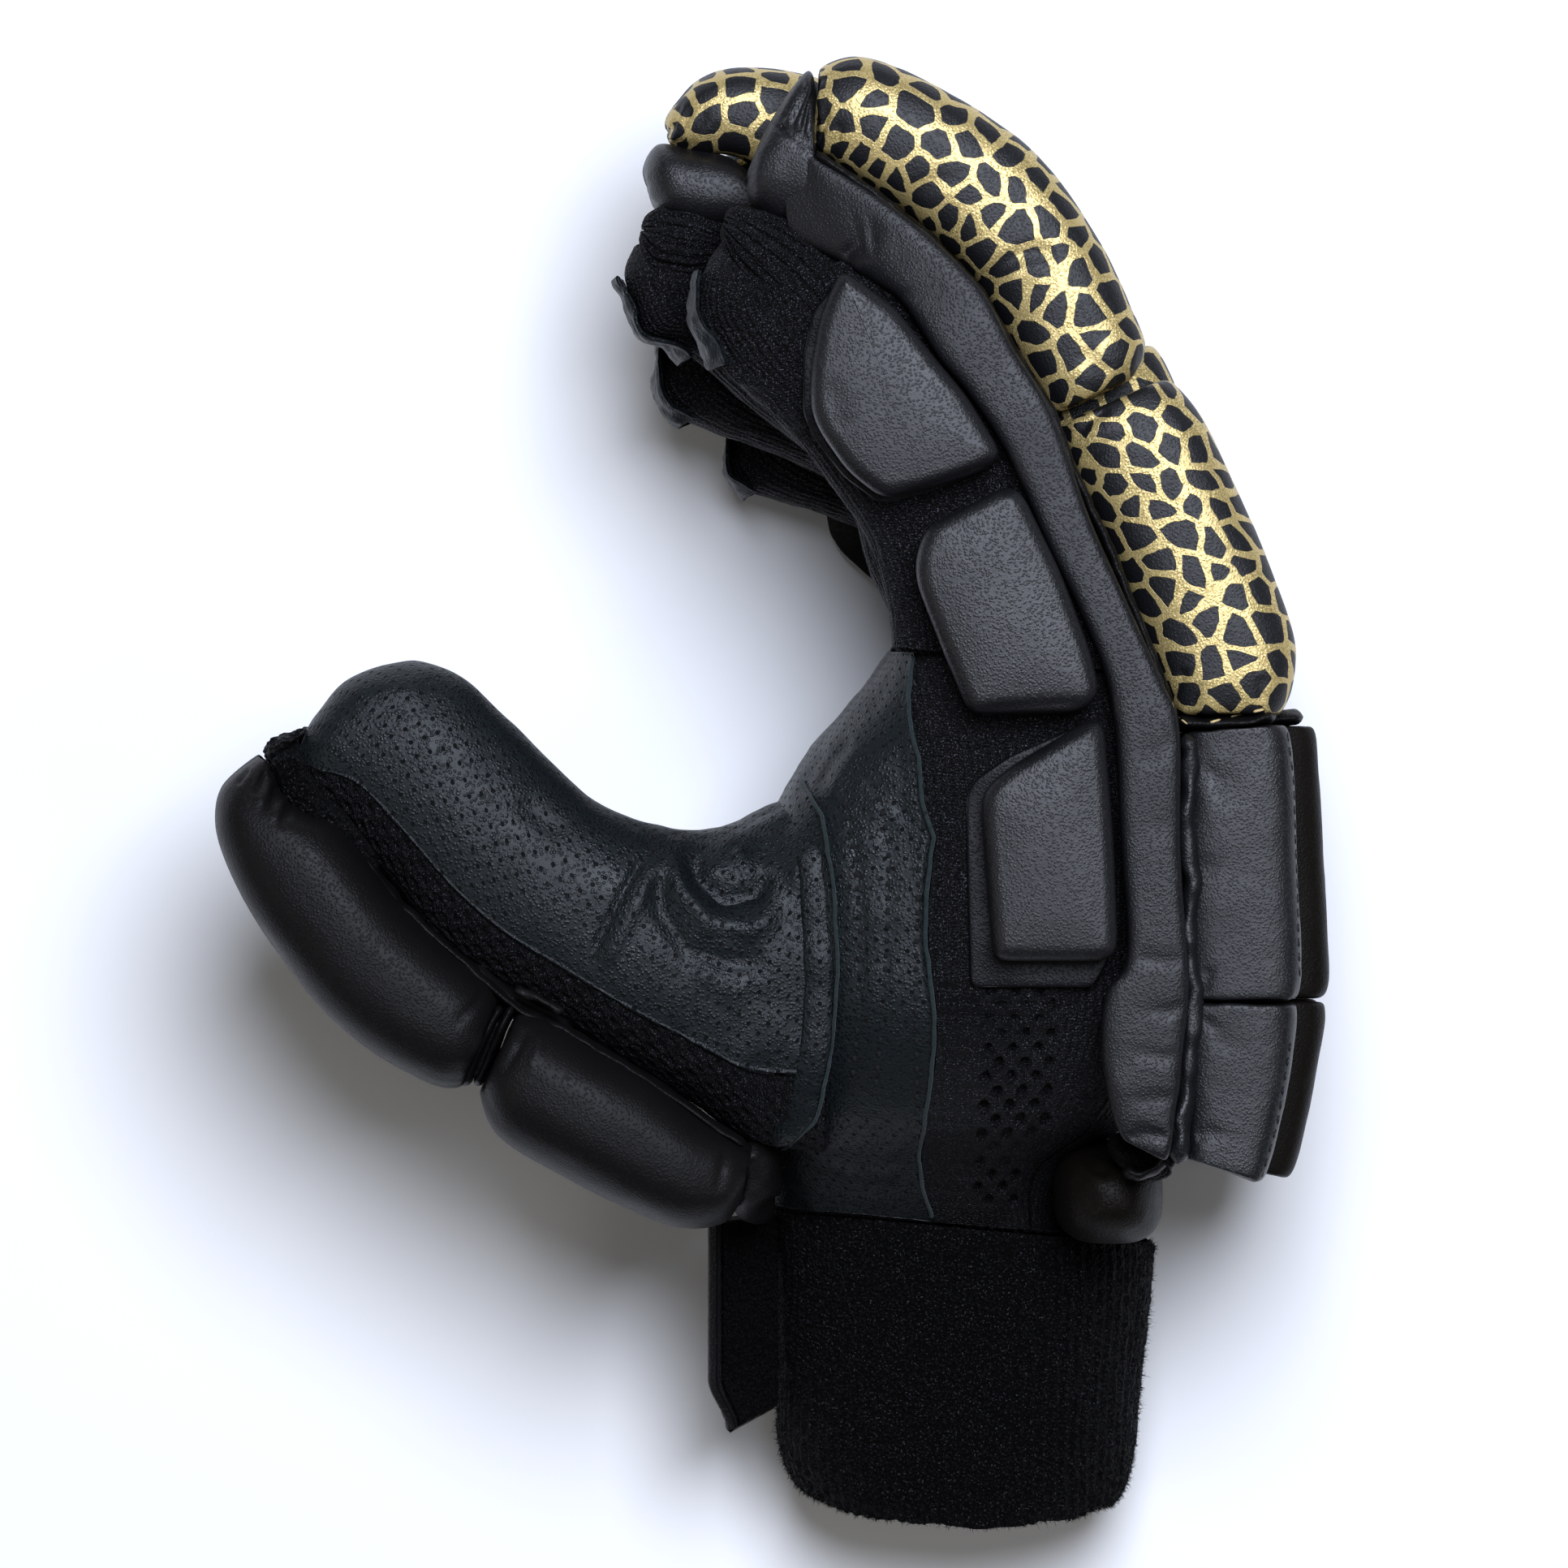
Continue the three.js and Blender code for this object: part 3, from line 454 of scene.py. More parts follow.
def finish_mesh(name, vertices, faces, uvs, material, stands_for=()):
    label = f"{name}_dressed" if name in stands_for else name
    vertices = np.array(vertices, float)
    vertices[:, 2] = np.maximum(vertices[:, 2], 0)
    mesh = bpy.data.meshes.new(label)
    mesh.from_pydata((vertices * MM).tolist(), [], faces)
    if uvs is not None:
        layer = mesh.uv_layers.new(name="surface")
        layer.data.foreach_set("uv", (np.asarray(uvs, float) * MM).ravel())
    mesh.polygons.foreach_set("use_smooth", [True] * len(mesh.polygons))
    mesh.materials.append(material)
    mesh.update()
    obj = bpy.data.objects.new(label, mesh)
    bpy.context.scene.collection.objects.link(obj)
    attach(obj, "root")
    if stands_for:
        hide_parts(*stands_for)
    built[name] = obj
    return obj


def grid_faces(n, m, closed, start=0, flip=False):
    """Quads of an n by m grid and, for each corner, its row and column before wrapping."""
    i, j = np.meshgrid(np.arange(n - 1), np.arange(m if closed else m - 1), indexing="ij")
    i, j = i.ravel(), j.ravel()
    rows = np.stack([i, i, i + 1, i + 1], 1)
    cols = np.stack([j, j + 1, j + 1, j], 1)
    if flip:
        rows, cols = rows[:, ::-1], cols[:, ::-1]
    return start + rows * m + cols % m, rows, cols


def surface_lengths(P, closed, centre):
    """Lengths round and along a grid in mm, for the weave and grain to follow."""
    Q = np.concatenate([P, P[:, :1]], 1) if closed else P
    round_steps = np.linalg.norm(np.diff(Q, axis=1), axis=-1)
    u = np.concatenate([np.zeros((len(Q), 1)), np.cumsum(round_steps, 1)], 1)
    u = u - u[:, centre:centre + 1]
    v = distance_along(Q[:, centre])[:, None]
    return np.stack([u, np.broadcast_to(v, u.shape)], -1)


def faces_out(P, closed):
    """Whether the quads of grid_faces on this grid face away from its middle."""
    return points_away(P, normals_of(P, closed), P.mean((0, 1)))


def closed_pad(name, P, material, stands_for=(), centre=None):
    """Solid from rings of points, closed by a fan at each end."""
    n, m = P.shape[:2]
    flip = not faces_out(P, True)
    quads, rows, cols = grid_faces(n, m, True, flip=flip)
    uv = surface_lengths(P, True, m // 4 if centre is None else centre)
    faces = quads.tolist()
    uvs = uv[rows, cols].reshape(-1, 2)
    vertices = P.reshape(-1, 3)
    extra = []
    for row, reverse in ((0, True), (n - 1, False)):
        tip = len(vertices) + len(extra)
        extra.append(P[row].mean(0))
        middle = uv[row, :m].mean(0)
        for j in range(m):
            k = (j + 1) % m
            tri = [row * m + j, row * m + k, tip]
            corner = [uv[row, j], uv[row, j + 1], middle]
            if reverse != flip:
                tri, corner = tri[::-1], corner[::-1]
            faces.append(tri)
            uvs = np.concatenate([uvs, corner])
    return finish_mesh(name, np.concatenate([vertices, extra]), faces, uvs, material, stands_for)


def shell(name, outer, inner, closed, material, stands_for=(), tip=False, coarse=5):
    """Wall between two grids, with rounded rims and a coarser lining. With tip, the far end is closed."""
    n, m = outer.shape[:2]
    flip = not faces_out(outer, closed)
    uv = surface_lengths(outer, closed, m // 2)
    row_picks = np.unique(np.append(np.arange(0, n, coarse), n - 1))
    col_picks = np.arange(0, m, coarse)
    if not closed:
        col_picks = np.unique(np.append(col_picks, m - 1))
    lining = inner[row_picks][:, col_picks]
    vertices = [outer.reshape(-1, 3), lining.reshape(-1, 3)]
    count = n * m + lining.shape[0] * lining.shape[1]
    quads, rows, cols = grid_faces(n, m, closed, 0, flip)
    faces = quads.tolist()
    uvs = [uv[rows, cols].reshape(-1, 2)]
    quads, rows, cols = grid_faces(*lining.shape[:2], closed, n * m, not flip)
    faces += quads.tolist()
    across = np.append(col_picks, m) if closed else col_picks
    uvs.append(uv[row_picks[rows], across[cols]].reshape(-1, 2))

    def rim(out_index, out_points, in_points, push, reverse, wrap, edge_uv):
        nonlocal count
        k = len(out_points)
        vertices.extend([in_points, (out_points + in_points) / 2 + push])
        in_index, mid_index = np.arange(k) + count, np.arange(k) + count + k
        count += 2 * k
        for lower, upper in ((in_index, mid_index), (mid_index, out_index)):
            for j in range(k if wrap else k - 1):
                q = (j + 1) % k
                face = [lower[j], lower[q], upper[q], upper[j]]
                corner = [edge_uv[j], edge_uv[j + 1], edge_uv[j + 1], edge_uv[j]]
                if reverse:
                    face, corner = face[::-1], corner[::-1]
                faces.append([int(f) for f in face])
                uvs.append(np.array(corner))

    index = np.arange(n * m).reshape(n, m)
    wall = np.linalg.norm(outer - inner, axis=-1, keepdims=True) / 2

    def beyond(edge, beside, thick):
        side = edge - beside
        return side / (np.linalg.norm(side, axis=-1, keepdims=True) + 1e-9) * thick * 0.8

    rim(index[0], outer[0], inner[0], beyond(outer[0], outer[1], wall[0]), not flip, closed, uv[0])
    if tip:
        for ring, reverse in ((outer[-1], flip), (inner[-1], not flip)):
            vertices.extend([ring, ring.mean(0)[None]])
            for j in range(m):
                face = [count + j, count + (j + 1) % m, count + m]
                corner = [uv[-1, j], uv[-1, j + 1], uv[-1, :m].mean(0)]
                if reverse:
                    face, corner = face[::-1], corner[::-1]
                faces.append(face)
                uvs.append(np.array(corner))
            count += m + 1
    else:
        rim(index[-1], outer[-1], inner[-1], beyond(outer[-1], outer[-2], wall[-1]), flip, closed, uv[-1])
    if not closed:
        for col, beside, reverse in ((0, 1, flip), (m - 1, m - 2, not flip)):
            push = beyond(outer[:, col], outer[:, beside], wall[:, col])
            rim(index[:, col], outer[:, col], inner[:, col], push, reverse, False, uv[:, col])
    return finish_mesh(name, np.concatenate(vertices), faces, np.concatenate(uvs), material, stands_for)


# Materials


class Paint:
    """A material's node tree, built a node at a time."""

    def __init__(self, name, **shader):
        self.material = bpy.data.materials.new(name)
        self.material.use_nodes = True
        self.tree = self.material.node_tree
        self.tree.nodes.clear()
        self.output = self.tree.nodes.new("ShaderNodeOutputMaterial")
        self.shader = self.node("ShaderNodeBsdfPrincipled", shader)
        self.join(self.shader.outputs[0], self.output.inputs["Surface"])
        self.place = self.tree.nodes.new("ShaderNodeTexCoord").outputs["Object"]
        self.surface = self.node("ShaderNodeUVMap", uv_map="surface").outputs[0]

    def join(self, a, b):
        self.tree.links.new(a, b)

    def node(self, kind, inputs=None, **settings):
        made = self.tree.nodes.new(kind)
        for key, value in settings.items():
            setattr(made, key, value)
        for key, value in (inputs or {}).items():
            socket = made.inputs[key]
            if isinstance(value, bpy.types.NodeSocket):
                self.join(value, socket)
            else:
                socket.default_value = value
        return made

    def math(self, operation, a, b):
        return self.node("ShaderNodeMath", {0: a, 1: b}, operation=operation).outputs[0]

    def noise(self, size, detail=3):
        """Noise from 0 to 1 with features of size mm."""
        return self.node("ShaderNodeTexNoise", {
            "Vector": self.place, "Scale": 1 / (size * MM), "Detail": detail, "Roughness": 0.55,
        }).outputs[0]

    def cells(self, size, feature="F1", random=1.0, vector=None, flat=False):
        """Distance in a cell pattern of size mm, as a share of that size."""
        return self.node("ShaderNodeTexVoronoi", {
            "Vector": vector or self.place, "Scale": 1 / (size * MM), "Randomness": random,
        }, feature=feature, voronoi_dimensions="2D" if flat else "3D").outputs["Distance"]

    def ramp(self, value, low, high, to_low=0.0, to_high=1.0):
        return self.node("ShaderNodeMapRange", {
            "Value": value, "From Min": low, "From Max": high, "To Min": to_low, "To Max": to_high,
        }, interpolation_type="SMOOTHSTEP").outputs[0]

    def mix(self, share, a, b):
        made = self.node("ShaderNodeMix", data_type="RGBA")
        for socket, value in ((made.inputs[0], share), (made.inputs[6], a), (made.inputs[7], b)):
            if isinstance(value, bpy.types.NodeSocket):
                self.join(value, socket)
            else:
                socket.default_value = value
        return made.outputs[2]

    def vector(self, operation, a, b):
        second = "Scale" if operation == "SCALE" else 1
        return self.node("ShaderNodeVectorMath", {0: a, second: b}, operation=operation).outputs[0]

    def warped(self, amount, size, start):
        """Coordinates moved about by up to amount mm, with noise of size mm."""
        drift = self.node("ShaderNodeTexNoise", {"Vector": start, "Scale": 1 / (size * MM), "Detail": 2})
        shift = self.vector("SUBTRACT", drift.outputs[1], (0.5, 0.5, 0.5))
        return self.vector("ADD", start, self.vector("SCALE", shift, amount * MM))

    def turned(self, angle, stretch=(1, 1)):
        """The surface coordinates turned by an angle in degrees after a stretch."""
        return self.node("ShaderNodeMapping", {
            "Vector": self.surface, "Rotation": (0, 0, math.radians(angle)), "Scale": (*stretch, 1),
        }).outputs[0]

    def sum(self, a, b, share=1.0):
        """a plus a share of b."""
        return self.math("ADD", a, b if share == 1.0 else self.math("MULTIPLY", b, share))

    def bump(self, height, depth, before=None):
        """Relief of depth mm for a height from 0 to 1."""
        made = self.node("ShaderNodeBump", {"Height": height, "Distance": depth * MM, "Strength": 1.0})
        if before is not None:
            self.join(before, made.inputs["Normal"])
        return made.outputs[0]

    def finish(self, color=None, rough=None, normal=None):
        for value, key in ((color, "Base Color"), (rough, "Roughness"), (normal, "Normal")):
            if value is not None:
                self.join(value, self.shader.inputs[key])
        return self.material


def rgb(r, g, b):
    return (r, g, b, 1.0)


def grain(paint, size, depth):
    """Leather grain: small raised pebbles in soft creases."""
    uneven = paint.warped(size * 1.2, size * 2.5, paint.place)
    pebbles = paint.ramp(paint.cells(size, vector=uneven), 0.05, 0.62, 1, 0)
    creases = paint.noise(size * 3.2, 4)
    both = paint.sum(paint.math("MULTIPLY", pebbles, 0.6), creases, 0.5)
    return paint.bump(both, depth), pebbles


def black_leather(name, specular, dark=(0.0030, 0.0030, 0.0037), pale=(0.0058, 0.0058, 0.0070)):
    paint = Paint(name, **{"Specular IOR Level": specular})
    normal, pebbles = grain(paint, 0.55, 0.10)
    patches = paint.noise(26, 3)
    color = paint.mix(patches, rgb(*dark), rgb(*pale))
    rough = paint.ramp(paint.sum(patches, pebbles, 0.25), 0.2, 0.95, 0.41, 0.53)
    return paint.finish(color, rough, normal)


def gold_print():
    """Foil network round rounded black cells, laid out on the surface itself."""
    paint = Paint("gold_print", **{"Specular IOR Level": 0.36})
    moved = paint.warped(2.4, 6, paint.surface)
    near = paint.cells(6.3, "F1", 0.72, moved, flat=True)
    following = paint.cells(6.3, "F2", 0.72, moved, flat=True)
    edge = paint.math("SUBTRACT", following, near)
    ragged = paint.math("MULTIPLY", paint.math("SUBTRACT", paint.noise(0.9, 2), 0.5), 0.05)
    cell = paint.ramp(paint.sum(edge, ragged), 0.195, 0.235)
    normal, _ = grain(paint, 0.6, 0.085)
    lifted = paint.bump(paint.math("SUBTRACT", 1.0, cell), 0.05, normal)
    fine = paint.noise(0.34, 2)
    foil = paint.mix(paint.ramp(fine, 0.38, 0.66), rgb(0.32, 0.235, 0.078), rgb(0.74, 0.59, 0.265))
    worn = paint.mix(paint.ramp(paint.noise(14, 3), 0.35, 0.75), foil, rgb(0.50, 0.385, 0.160))
    color = paint.mix(cell, worn, rgb(0.0042, 0.0042, 0.0052))
    metal = paint.math("MULTIPLY", paint.math("SUBTRACT", 1.0, cell), 0.5)
    paint.join(metal, paint.shader.inputs["Metallic"])
    rough = paint.ramp(paint.sum(fine, cell, 0.3), 0.2, 1.1, 0.36, 0.56)
    return paint.finish(color, rough, lifted)


HOLE_PITCH = 2.9


def palm_leather(name, holes):
    paint = Paint(name, **{"Specular IOR Level": 0.23})
    normal, pebbles = grain(paint, 0.72, 0.17)
    broken = paint.bump(paint.noise(0.36, 2), 0.045, normal)
    patches = paint.noise(17, 4)
    color = paint.mix(patches, rgb(0.0018, 0.0026, 0.0030), rgb(0.0050, 0.0070, 0.0080))
    dusty = paint.mix(paint.ramp(pebbles, 0.0, 0.35, 0.5, 0), color, rgb(0.0080, 0.0120, 0.0134))
    rough = paint.ramp(paint.sum(patches, pebbles, 0.5), 0.3, 1.3, 0.50, 0.27)
    if holes:
        dots = paint.cells(HOLE_PITCH, random=0.06, vector=paint.turned(45), flat=True)
        shown = paint.ramp(paint.noise(21, 2), 0.34, 0.50, 0.6)
        hole = paint.math("MULTIPLY", paint.ramp(dots, 0.11, 0.16, 1, 0), shown)
        rough = paint.sum(rough, hole, 0.5)
        # Painted shade: each perforation darkened to near black inside the hole.
        dusty = paint.mix(hole, dusty, rgb(0.0006, 0.0006, 0.0008))
        broken = paint.bump(paint.math("SUBTRACT", 1.0, hole), 0.22, broken)
    return paint.finish(dusty, rough, broken)


def knit_cloth(name, size, depth, rib, sparkle):
    """Fine black knit in ribs, with painted glints where its filaments would catch the light and painted shade
    between its loops and ribs.
    """
    paint = Paint(name, **{"Specular IOR Level": 0.12, "Sheen Weight": 0.01, "Sheen Roughness": 0.5})
    loops = paint.cells(size, vector=paint.turned(0, (1.0, 1.45)), random=0.72, flat=True)
    ribs = paint.node("ShaderNodeTexWave", {
        "Vector": paint.surface, "Scale": 0.314 / (rib * MM), "Distortion": 1.2, "Detail": 2.0,
    }).outputs["Fac"]
    fuzz = paint.noise(0.30, 3)
    height = paint.sum(paint.ramp(loops, 0.1, 0.75, 1, 0), fuzz, 0.7)
    normal = paint.bump(paint.sum(height, ribs, 1.1), depth)
    # Painted light and shade: loop middles and rib crests lighter, the gaps between them darker.
    lit = paint.math("MULTIPLY", paint.ramp(loops, 0.05, 0.7, 1, 0.15), paint.ramp(ribs, 0.1, 0.9, 0.25, 1.2))
    tone = paint.mix(lit, rgb(0.00060, 0.00060, 0.00066), rgb(0.00360, 0.00360, 0.00414))
    # Painted glints: pale grey specks in the colour where filaments would catch the light.
    glints = paint.ramp(paint.noise(0.30, 1), sparkle + 0.02, sparkle + 0.09)
    color = paint.mix(paint.math("MULTIPLY", glints, 0.8), tone, rgb(0.085, 0.085, 0.105))
    return paint.finish(color, paint.ramp(glints, 0, 1, 0.62, 0.30), normal)


def towelling(name, level):
    paint = Paint(name, **{"Specular IOR Level": 0.04, "Sheen Weight": 0.01, "Sheen Roughness": 0.6})
    tufts = paint.cells(0.85, random=0.95)
    fuzz = paint.noise(0.32, 3)
    height = paint.sum(paint.ramp(tufts, 0.1, 0.8, 1, 0), fuzz, 0.8)
    dark, pale, speckle = 0.0003 * level, 0.0040 * level, 0.062 * level
    # Painted shade: hollows between the tufts darker, tuft tops lighter.
    tone = paint.mix(paint.ramp(tufts, 0.1, 0.6, 1, 0), rgb(dark, dark, dark), rgb(pale, pale, pale * 1.15))
    speck = paint.ramp(paint.noise(0.42, 1), 0.63, 0.73)
    color = paint.mix(paint.math("MULTIPLY", speck, 0.6), tone, rgb(speckle, speckle * 1.03, speckle * 1.15))
    return paint.finish(color, None, paint.bump(height, 0.55))


def raw_suede():
    paint = Paint("raw_suede", **{"Specular IOR Level": 0.15, "Roughness": 0.9, "Sheen Weight": 0.1})
    color = paint.mix(paint.noise(1.1, 4), rgb(0.0050, 0.0092, 0.0100), rgb(0.0230, 0.0390, 0.0410))
    return paint.finish(color, None, paint.bump(paint.noise(0.4, 3), 0.2))


def plain_thread(name, color, rough):
    paint = Paint(name, **{"Base Color": color, "Roughness": rough, "Specular IOR Level": 0.5})
    ply = paint.node("ShaderNodeTexWave", {"Vector": paint.turned(35), "Scale": 1 / (1.2 * MM)}).outputs[1]
    return paint.finish(None, None, paint.bump(ply, 0.05))


BLACK_LEATHER = black_leather("black_leather", 0.40)
GOLD_PRINT = gold_print()
PALM_LEATHER = palm_leather("palm_leather", True)
PLAIN_PALM_LEATHER = palm_leather("tip_leather", False)
STALL_KNIT = knit_cloth("stall_knit", 0.95, 0.34, 1.6, 0.60)
SIDE_KNIT = knit_cloth("side_knit", 0.90, 0.28, 1.9, 0.61)
TOWELLING = towelling("towelling", 1.0)
HOOK_TAPE = towelling("hook_tape", 0.25)
# Painted shade: a duller, warmer copy of the black leather for the thumb pads, knuckle seams, pipings, lips and
# gussets, where less light falls.
SHADED_LEATHER = black_leather(
    "shaded_leather", 0.11, (0.0034, 0.0032, 0.0032), (0.0062, 0.0058, 0.0058))
# A warm, dull copy of the black leather: partly the heel roll's own brownish tone, partly painted shade on the heel
# roll and on the back pads of the other fingers.
SHADED_WARM_LEATHER = black_leather("shaded_warm_leather", 0.07, (0.0042, 0.0034, 0.0026), (0.0075, 0.0060, 0.0045))
# Painted shade: the side bars' copy of the black leather with less sheen, for light that falls off along them.
SHADED_BAR_LEATHER = black_leather("shaded_bar_leather", 0.31)
BACKING_LEATHER = black_leather("backing_leather", 0.15)
RAW_SUEDE = raw_suede()
BLACK_THREAD = plain_thread("black_thread", rgb(0.010, 0.010, 0.012), 0.35)
# Painted shade: a near-black, matte copy of the thread for the palm stitches, standing for thread sunk into its
# holes.
SHADED_THREAD = plain_thread("shaded_sunk_thread", rgb(0.0006, 0.0006, 0.0008), 0.95)
GOLD_THREAD = plain_thread("gold_thread", rgb(0.62, 0.48, 0.22), 0.45)

# Pieces


def grid_of(loft, along, around, start=0.0, end=1.0, grow=0.0, a0=0.0, a1=None):
    """Shares and angles of a grid on a loft: all round it, or between two angles in radians."""
    s = np.linspace(start, end, along)[:, None]
    if a1 is None:
        a = (np.arange(around) * 2 * math.pi / around)[None]
    else:
        a = a0 + (a1 - a0) * np.linspace(0, 1, around)[None]
    s, a = np.broadcast_arrays(s, a)
    return points_on(loft, s, a, grow), s, a


def pad_rings(loft, along, around, ends, grow):
    """Rings of a stuffed pad: each end is (smallest size, roundness)."""
    k = np.linspace(0, 1, along)
    s = (1 - np.cos(math.pi * k)) / 2
    shrink = np.ones_like(s)
    for low, (size, power), share in ((s < 0.5, ends[0], s), (s >= 0.5, ends[1], 1 - s)):
        reach = np.clip(1 - 2 * share, 0, 1)
        round_end = (1 - reach ** (power * 2)) ** (1 / power)
        shrink = np.where(low, size + (1 - size) * round_end, shrink)
    a = (-math.pi + np.arange(around) * 2 * math.pi / around)[None]
    S, A = np.broadcast_arrays(s[:, None], a)
    return points_on(loft, S, A, grow, shrink[:, None]), S, A


SOFTNESS = 0.28
GATHER_PERIOD = 4.5
GATHER_REACH = 0.14


def puckers(S, A, at, amount, seed):
    """Gathers across a seam at one end of a pad, dying away over a share of its length."""
    away = np.abs(S - at) / GATHER_REACH
    ring = np.stack([np.cos(A) * GATHER_PERIOD, np.sin(A) * GATHER_PERIOD, S * 0 + seed * 3.1], -1)
    lines = noise(ring, 1.0, seed)
    return amount * lines * np.exp(-away ** 1.5)


def stuffed(name, loft, material, slot, along, around, ends, marks=(), gather=0.0, seed=0, extra=None,
            grow=0.0):
    """Stuffed piece: rings on a loft with soft unevenness, gathers at both ends and its own wrinkles."""
    P, S, A = pad_rings(loft, along, around, ends, grow)
    n = outward_normals(P)
    lift = SOFTNESS * (noise(P, 15, seed) + 0.4 * noise(P, 6, seed + 3)) - SOFTNESS * 0.7
    lift += 0.05 * noise(P, 2.2, seed + 5)
    if gather:
        for at in (0, 1):
            lift += puckers(S, A, at, gather, seed + at)
    if marks:
        lift += strokes(P, n, marks)
    if extra is not None:
        lift += extra(P, A)
    stands_for = [name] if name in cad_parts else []
    obj = closed_pad(name, P + n * lift[..., None], material, stands_for, centre=3 * around // 4)


# Gold finger rolls, caps, stalls and tip leathers

INDEX_DISTAL_MARKS = [
    ([(1200, 356), (1232, 330), (1262, 312), (1310, 316)], 9, -0.9),
    ([(1215, 378), (1250, 345), (1290, 330)], 10, 0.35),
    ([(1098, 262), (1128, 235), (1150, 224), (1190, 222)], 10, -0.4),
    ([(1000, 196), (1012, 160), (1022, 132)], 5, -0.7),
    ([(1018, 205), (1030, 176), (1036, 150)], 6, -0.5),
    ([(1330, 430), (1350, 452), (1372, 462)], 8, -0.4),
]
MIDDLE_DISTAL_MARKS = [
    ([(834, 176), (840, 150), (852, 122)], 4, -0.9),
    ([(850, 178), (858, 154), (872, 130)], 4, -0.8),
    ([(824, 160), (828, 138), (838, 118)], 4, -0.6),
    ([(868, 180), (876, 160), (888, 144)], 4, -0.5),
]
INDEX_PROXIMAL_MARKS = [
    ([(1318, 545), (1340, 520), (1368, 500)], 7, -0.7),
    ([(1330, 575), (1360, 548), (1395, 535)], 8, -0.35),
    ([(1440, 866), (1452, 846), (1458, 822)], 5, -0.5),
    ([(1470, 872), (1476, 852), (1480, 838)], 5, -0.35),
    ([(1556, 868), (1552, 848), (1554, 832)], 5, -0.35),
]
INDEX_CAP_MARKS = [
    ([(950, 150), (968, 162), (990, 172), (1008, 186)], 3.6, -1.3),
    ([(962, 152), (974, 126), (992, 98)], 3.2, -0.9),
    ([(975, 158), (985, 132), (998, 104)], 3.2, -0.9),
    ([(988, 166), (994, 142), (1003, 112)], 3.2, -0.9),
    ([(968, 154), (980, 128), (995, 101)], 3.4, 0.6),
    ([(981, 162), (990, 136), (1001, 108)], 3.4, 0.6),
    ([(1036, 318), (1010, 296), (975, 284), (950, 268)], 6, -0.5),
    ([(1010, 292), (1034, 278), (1060, 276)], 6, -0.8),
    ([(1000, 280), (1026, 262), (1055, 262)], 8, 0.4),
]

DISTAL_MARKS = {"index": INDEX_DISTAL_MARKS, "middle": MIDDLE_DISTAL_MARKS}

for number, (key, finger) in enumerate(FINGERS.items()):
    fine = key == "index"
    size = (150, 100) if fine else (84, 60)
    cap_size = (110, 90) if fine else (60, 48)
    stuffed(f"{key}_proximal_roll", finger_loft(finger, PROXIMAL_ROLL), GOLD_PRINT, "gold_print", *size,
            ends=((0.5, 7), (0.5, 5)), marks=INDEX_PROXIMAL_MARKS if fine else (), gather=0.3,
            seed=number * 11, grow=0.2)
    stuffed(f"{key}_distal_roll", finger_loft(finger, DISTAL_ROLL if fine else WRAPPED_ROLL), GOLD_PRINT,
            "gold_print", *size, ends=((0.5, 6), (0.6, 7) if fine else (0.2, 3)),
            marks=DISTAL_MARKS.get(key, ()), gather=0.45, seed=number * 11 + 2, grow=0.2)
    stuffed(f"{key}_tip_cap", finger_loft(finger, TIP_CAP if fine else WRAPPED_CAP), BLACK_LEATHER,
            "black_leather", *cap_size, ends=((0.2, 3), (0.3, 3)), marks=INDEX_CAP_MARKS if fine else (),
            gather=0.35, seed=number * 11 + 4, grow=0.5 if fine else 1.9)

# Folds of stall cloth pushed up under the caps
KNIT_FOLDS = {
    "index_knit_fold": (90.4, 9.4, [
        [884, 294, 902, 250], [900, 330, 948, 260], [930, 370, 1000, 282], [968, 404, 1038, 322],
        [1004, 418, 1050, 372],
    ]),
    "middle_knit_fold": (69.0, 9.2, [
        [788, 296, 796, 258], [802, 330, 826, 242], [838, 340, 862, 246], [864, 334, 888, 262],
        [884, 324, 906, 280],
    ]),
}
ROUND_ENDS = ((0.3, 2.6), (0.3, 2.6))


def pleated(P, A):
    return 0.55 * np.cos(A * 21 + noise(P, 9, 35)) + 0.45 * noise(P, 4.2, 36)


for name, (centre, reach, table) in KNIT_FOLDS.items():
    stuffed(name, loft_of([[*q, centre, reach, 2.4] for q in table]), STALL_KNIT, "black_mesh", 72, 112,
            ROUND_ENDS, seed=37, extra=pleated)

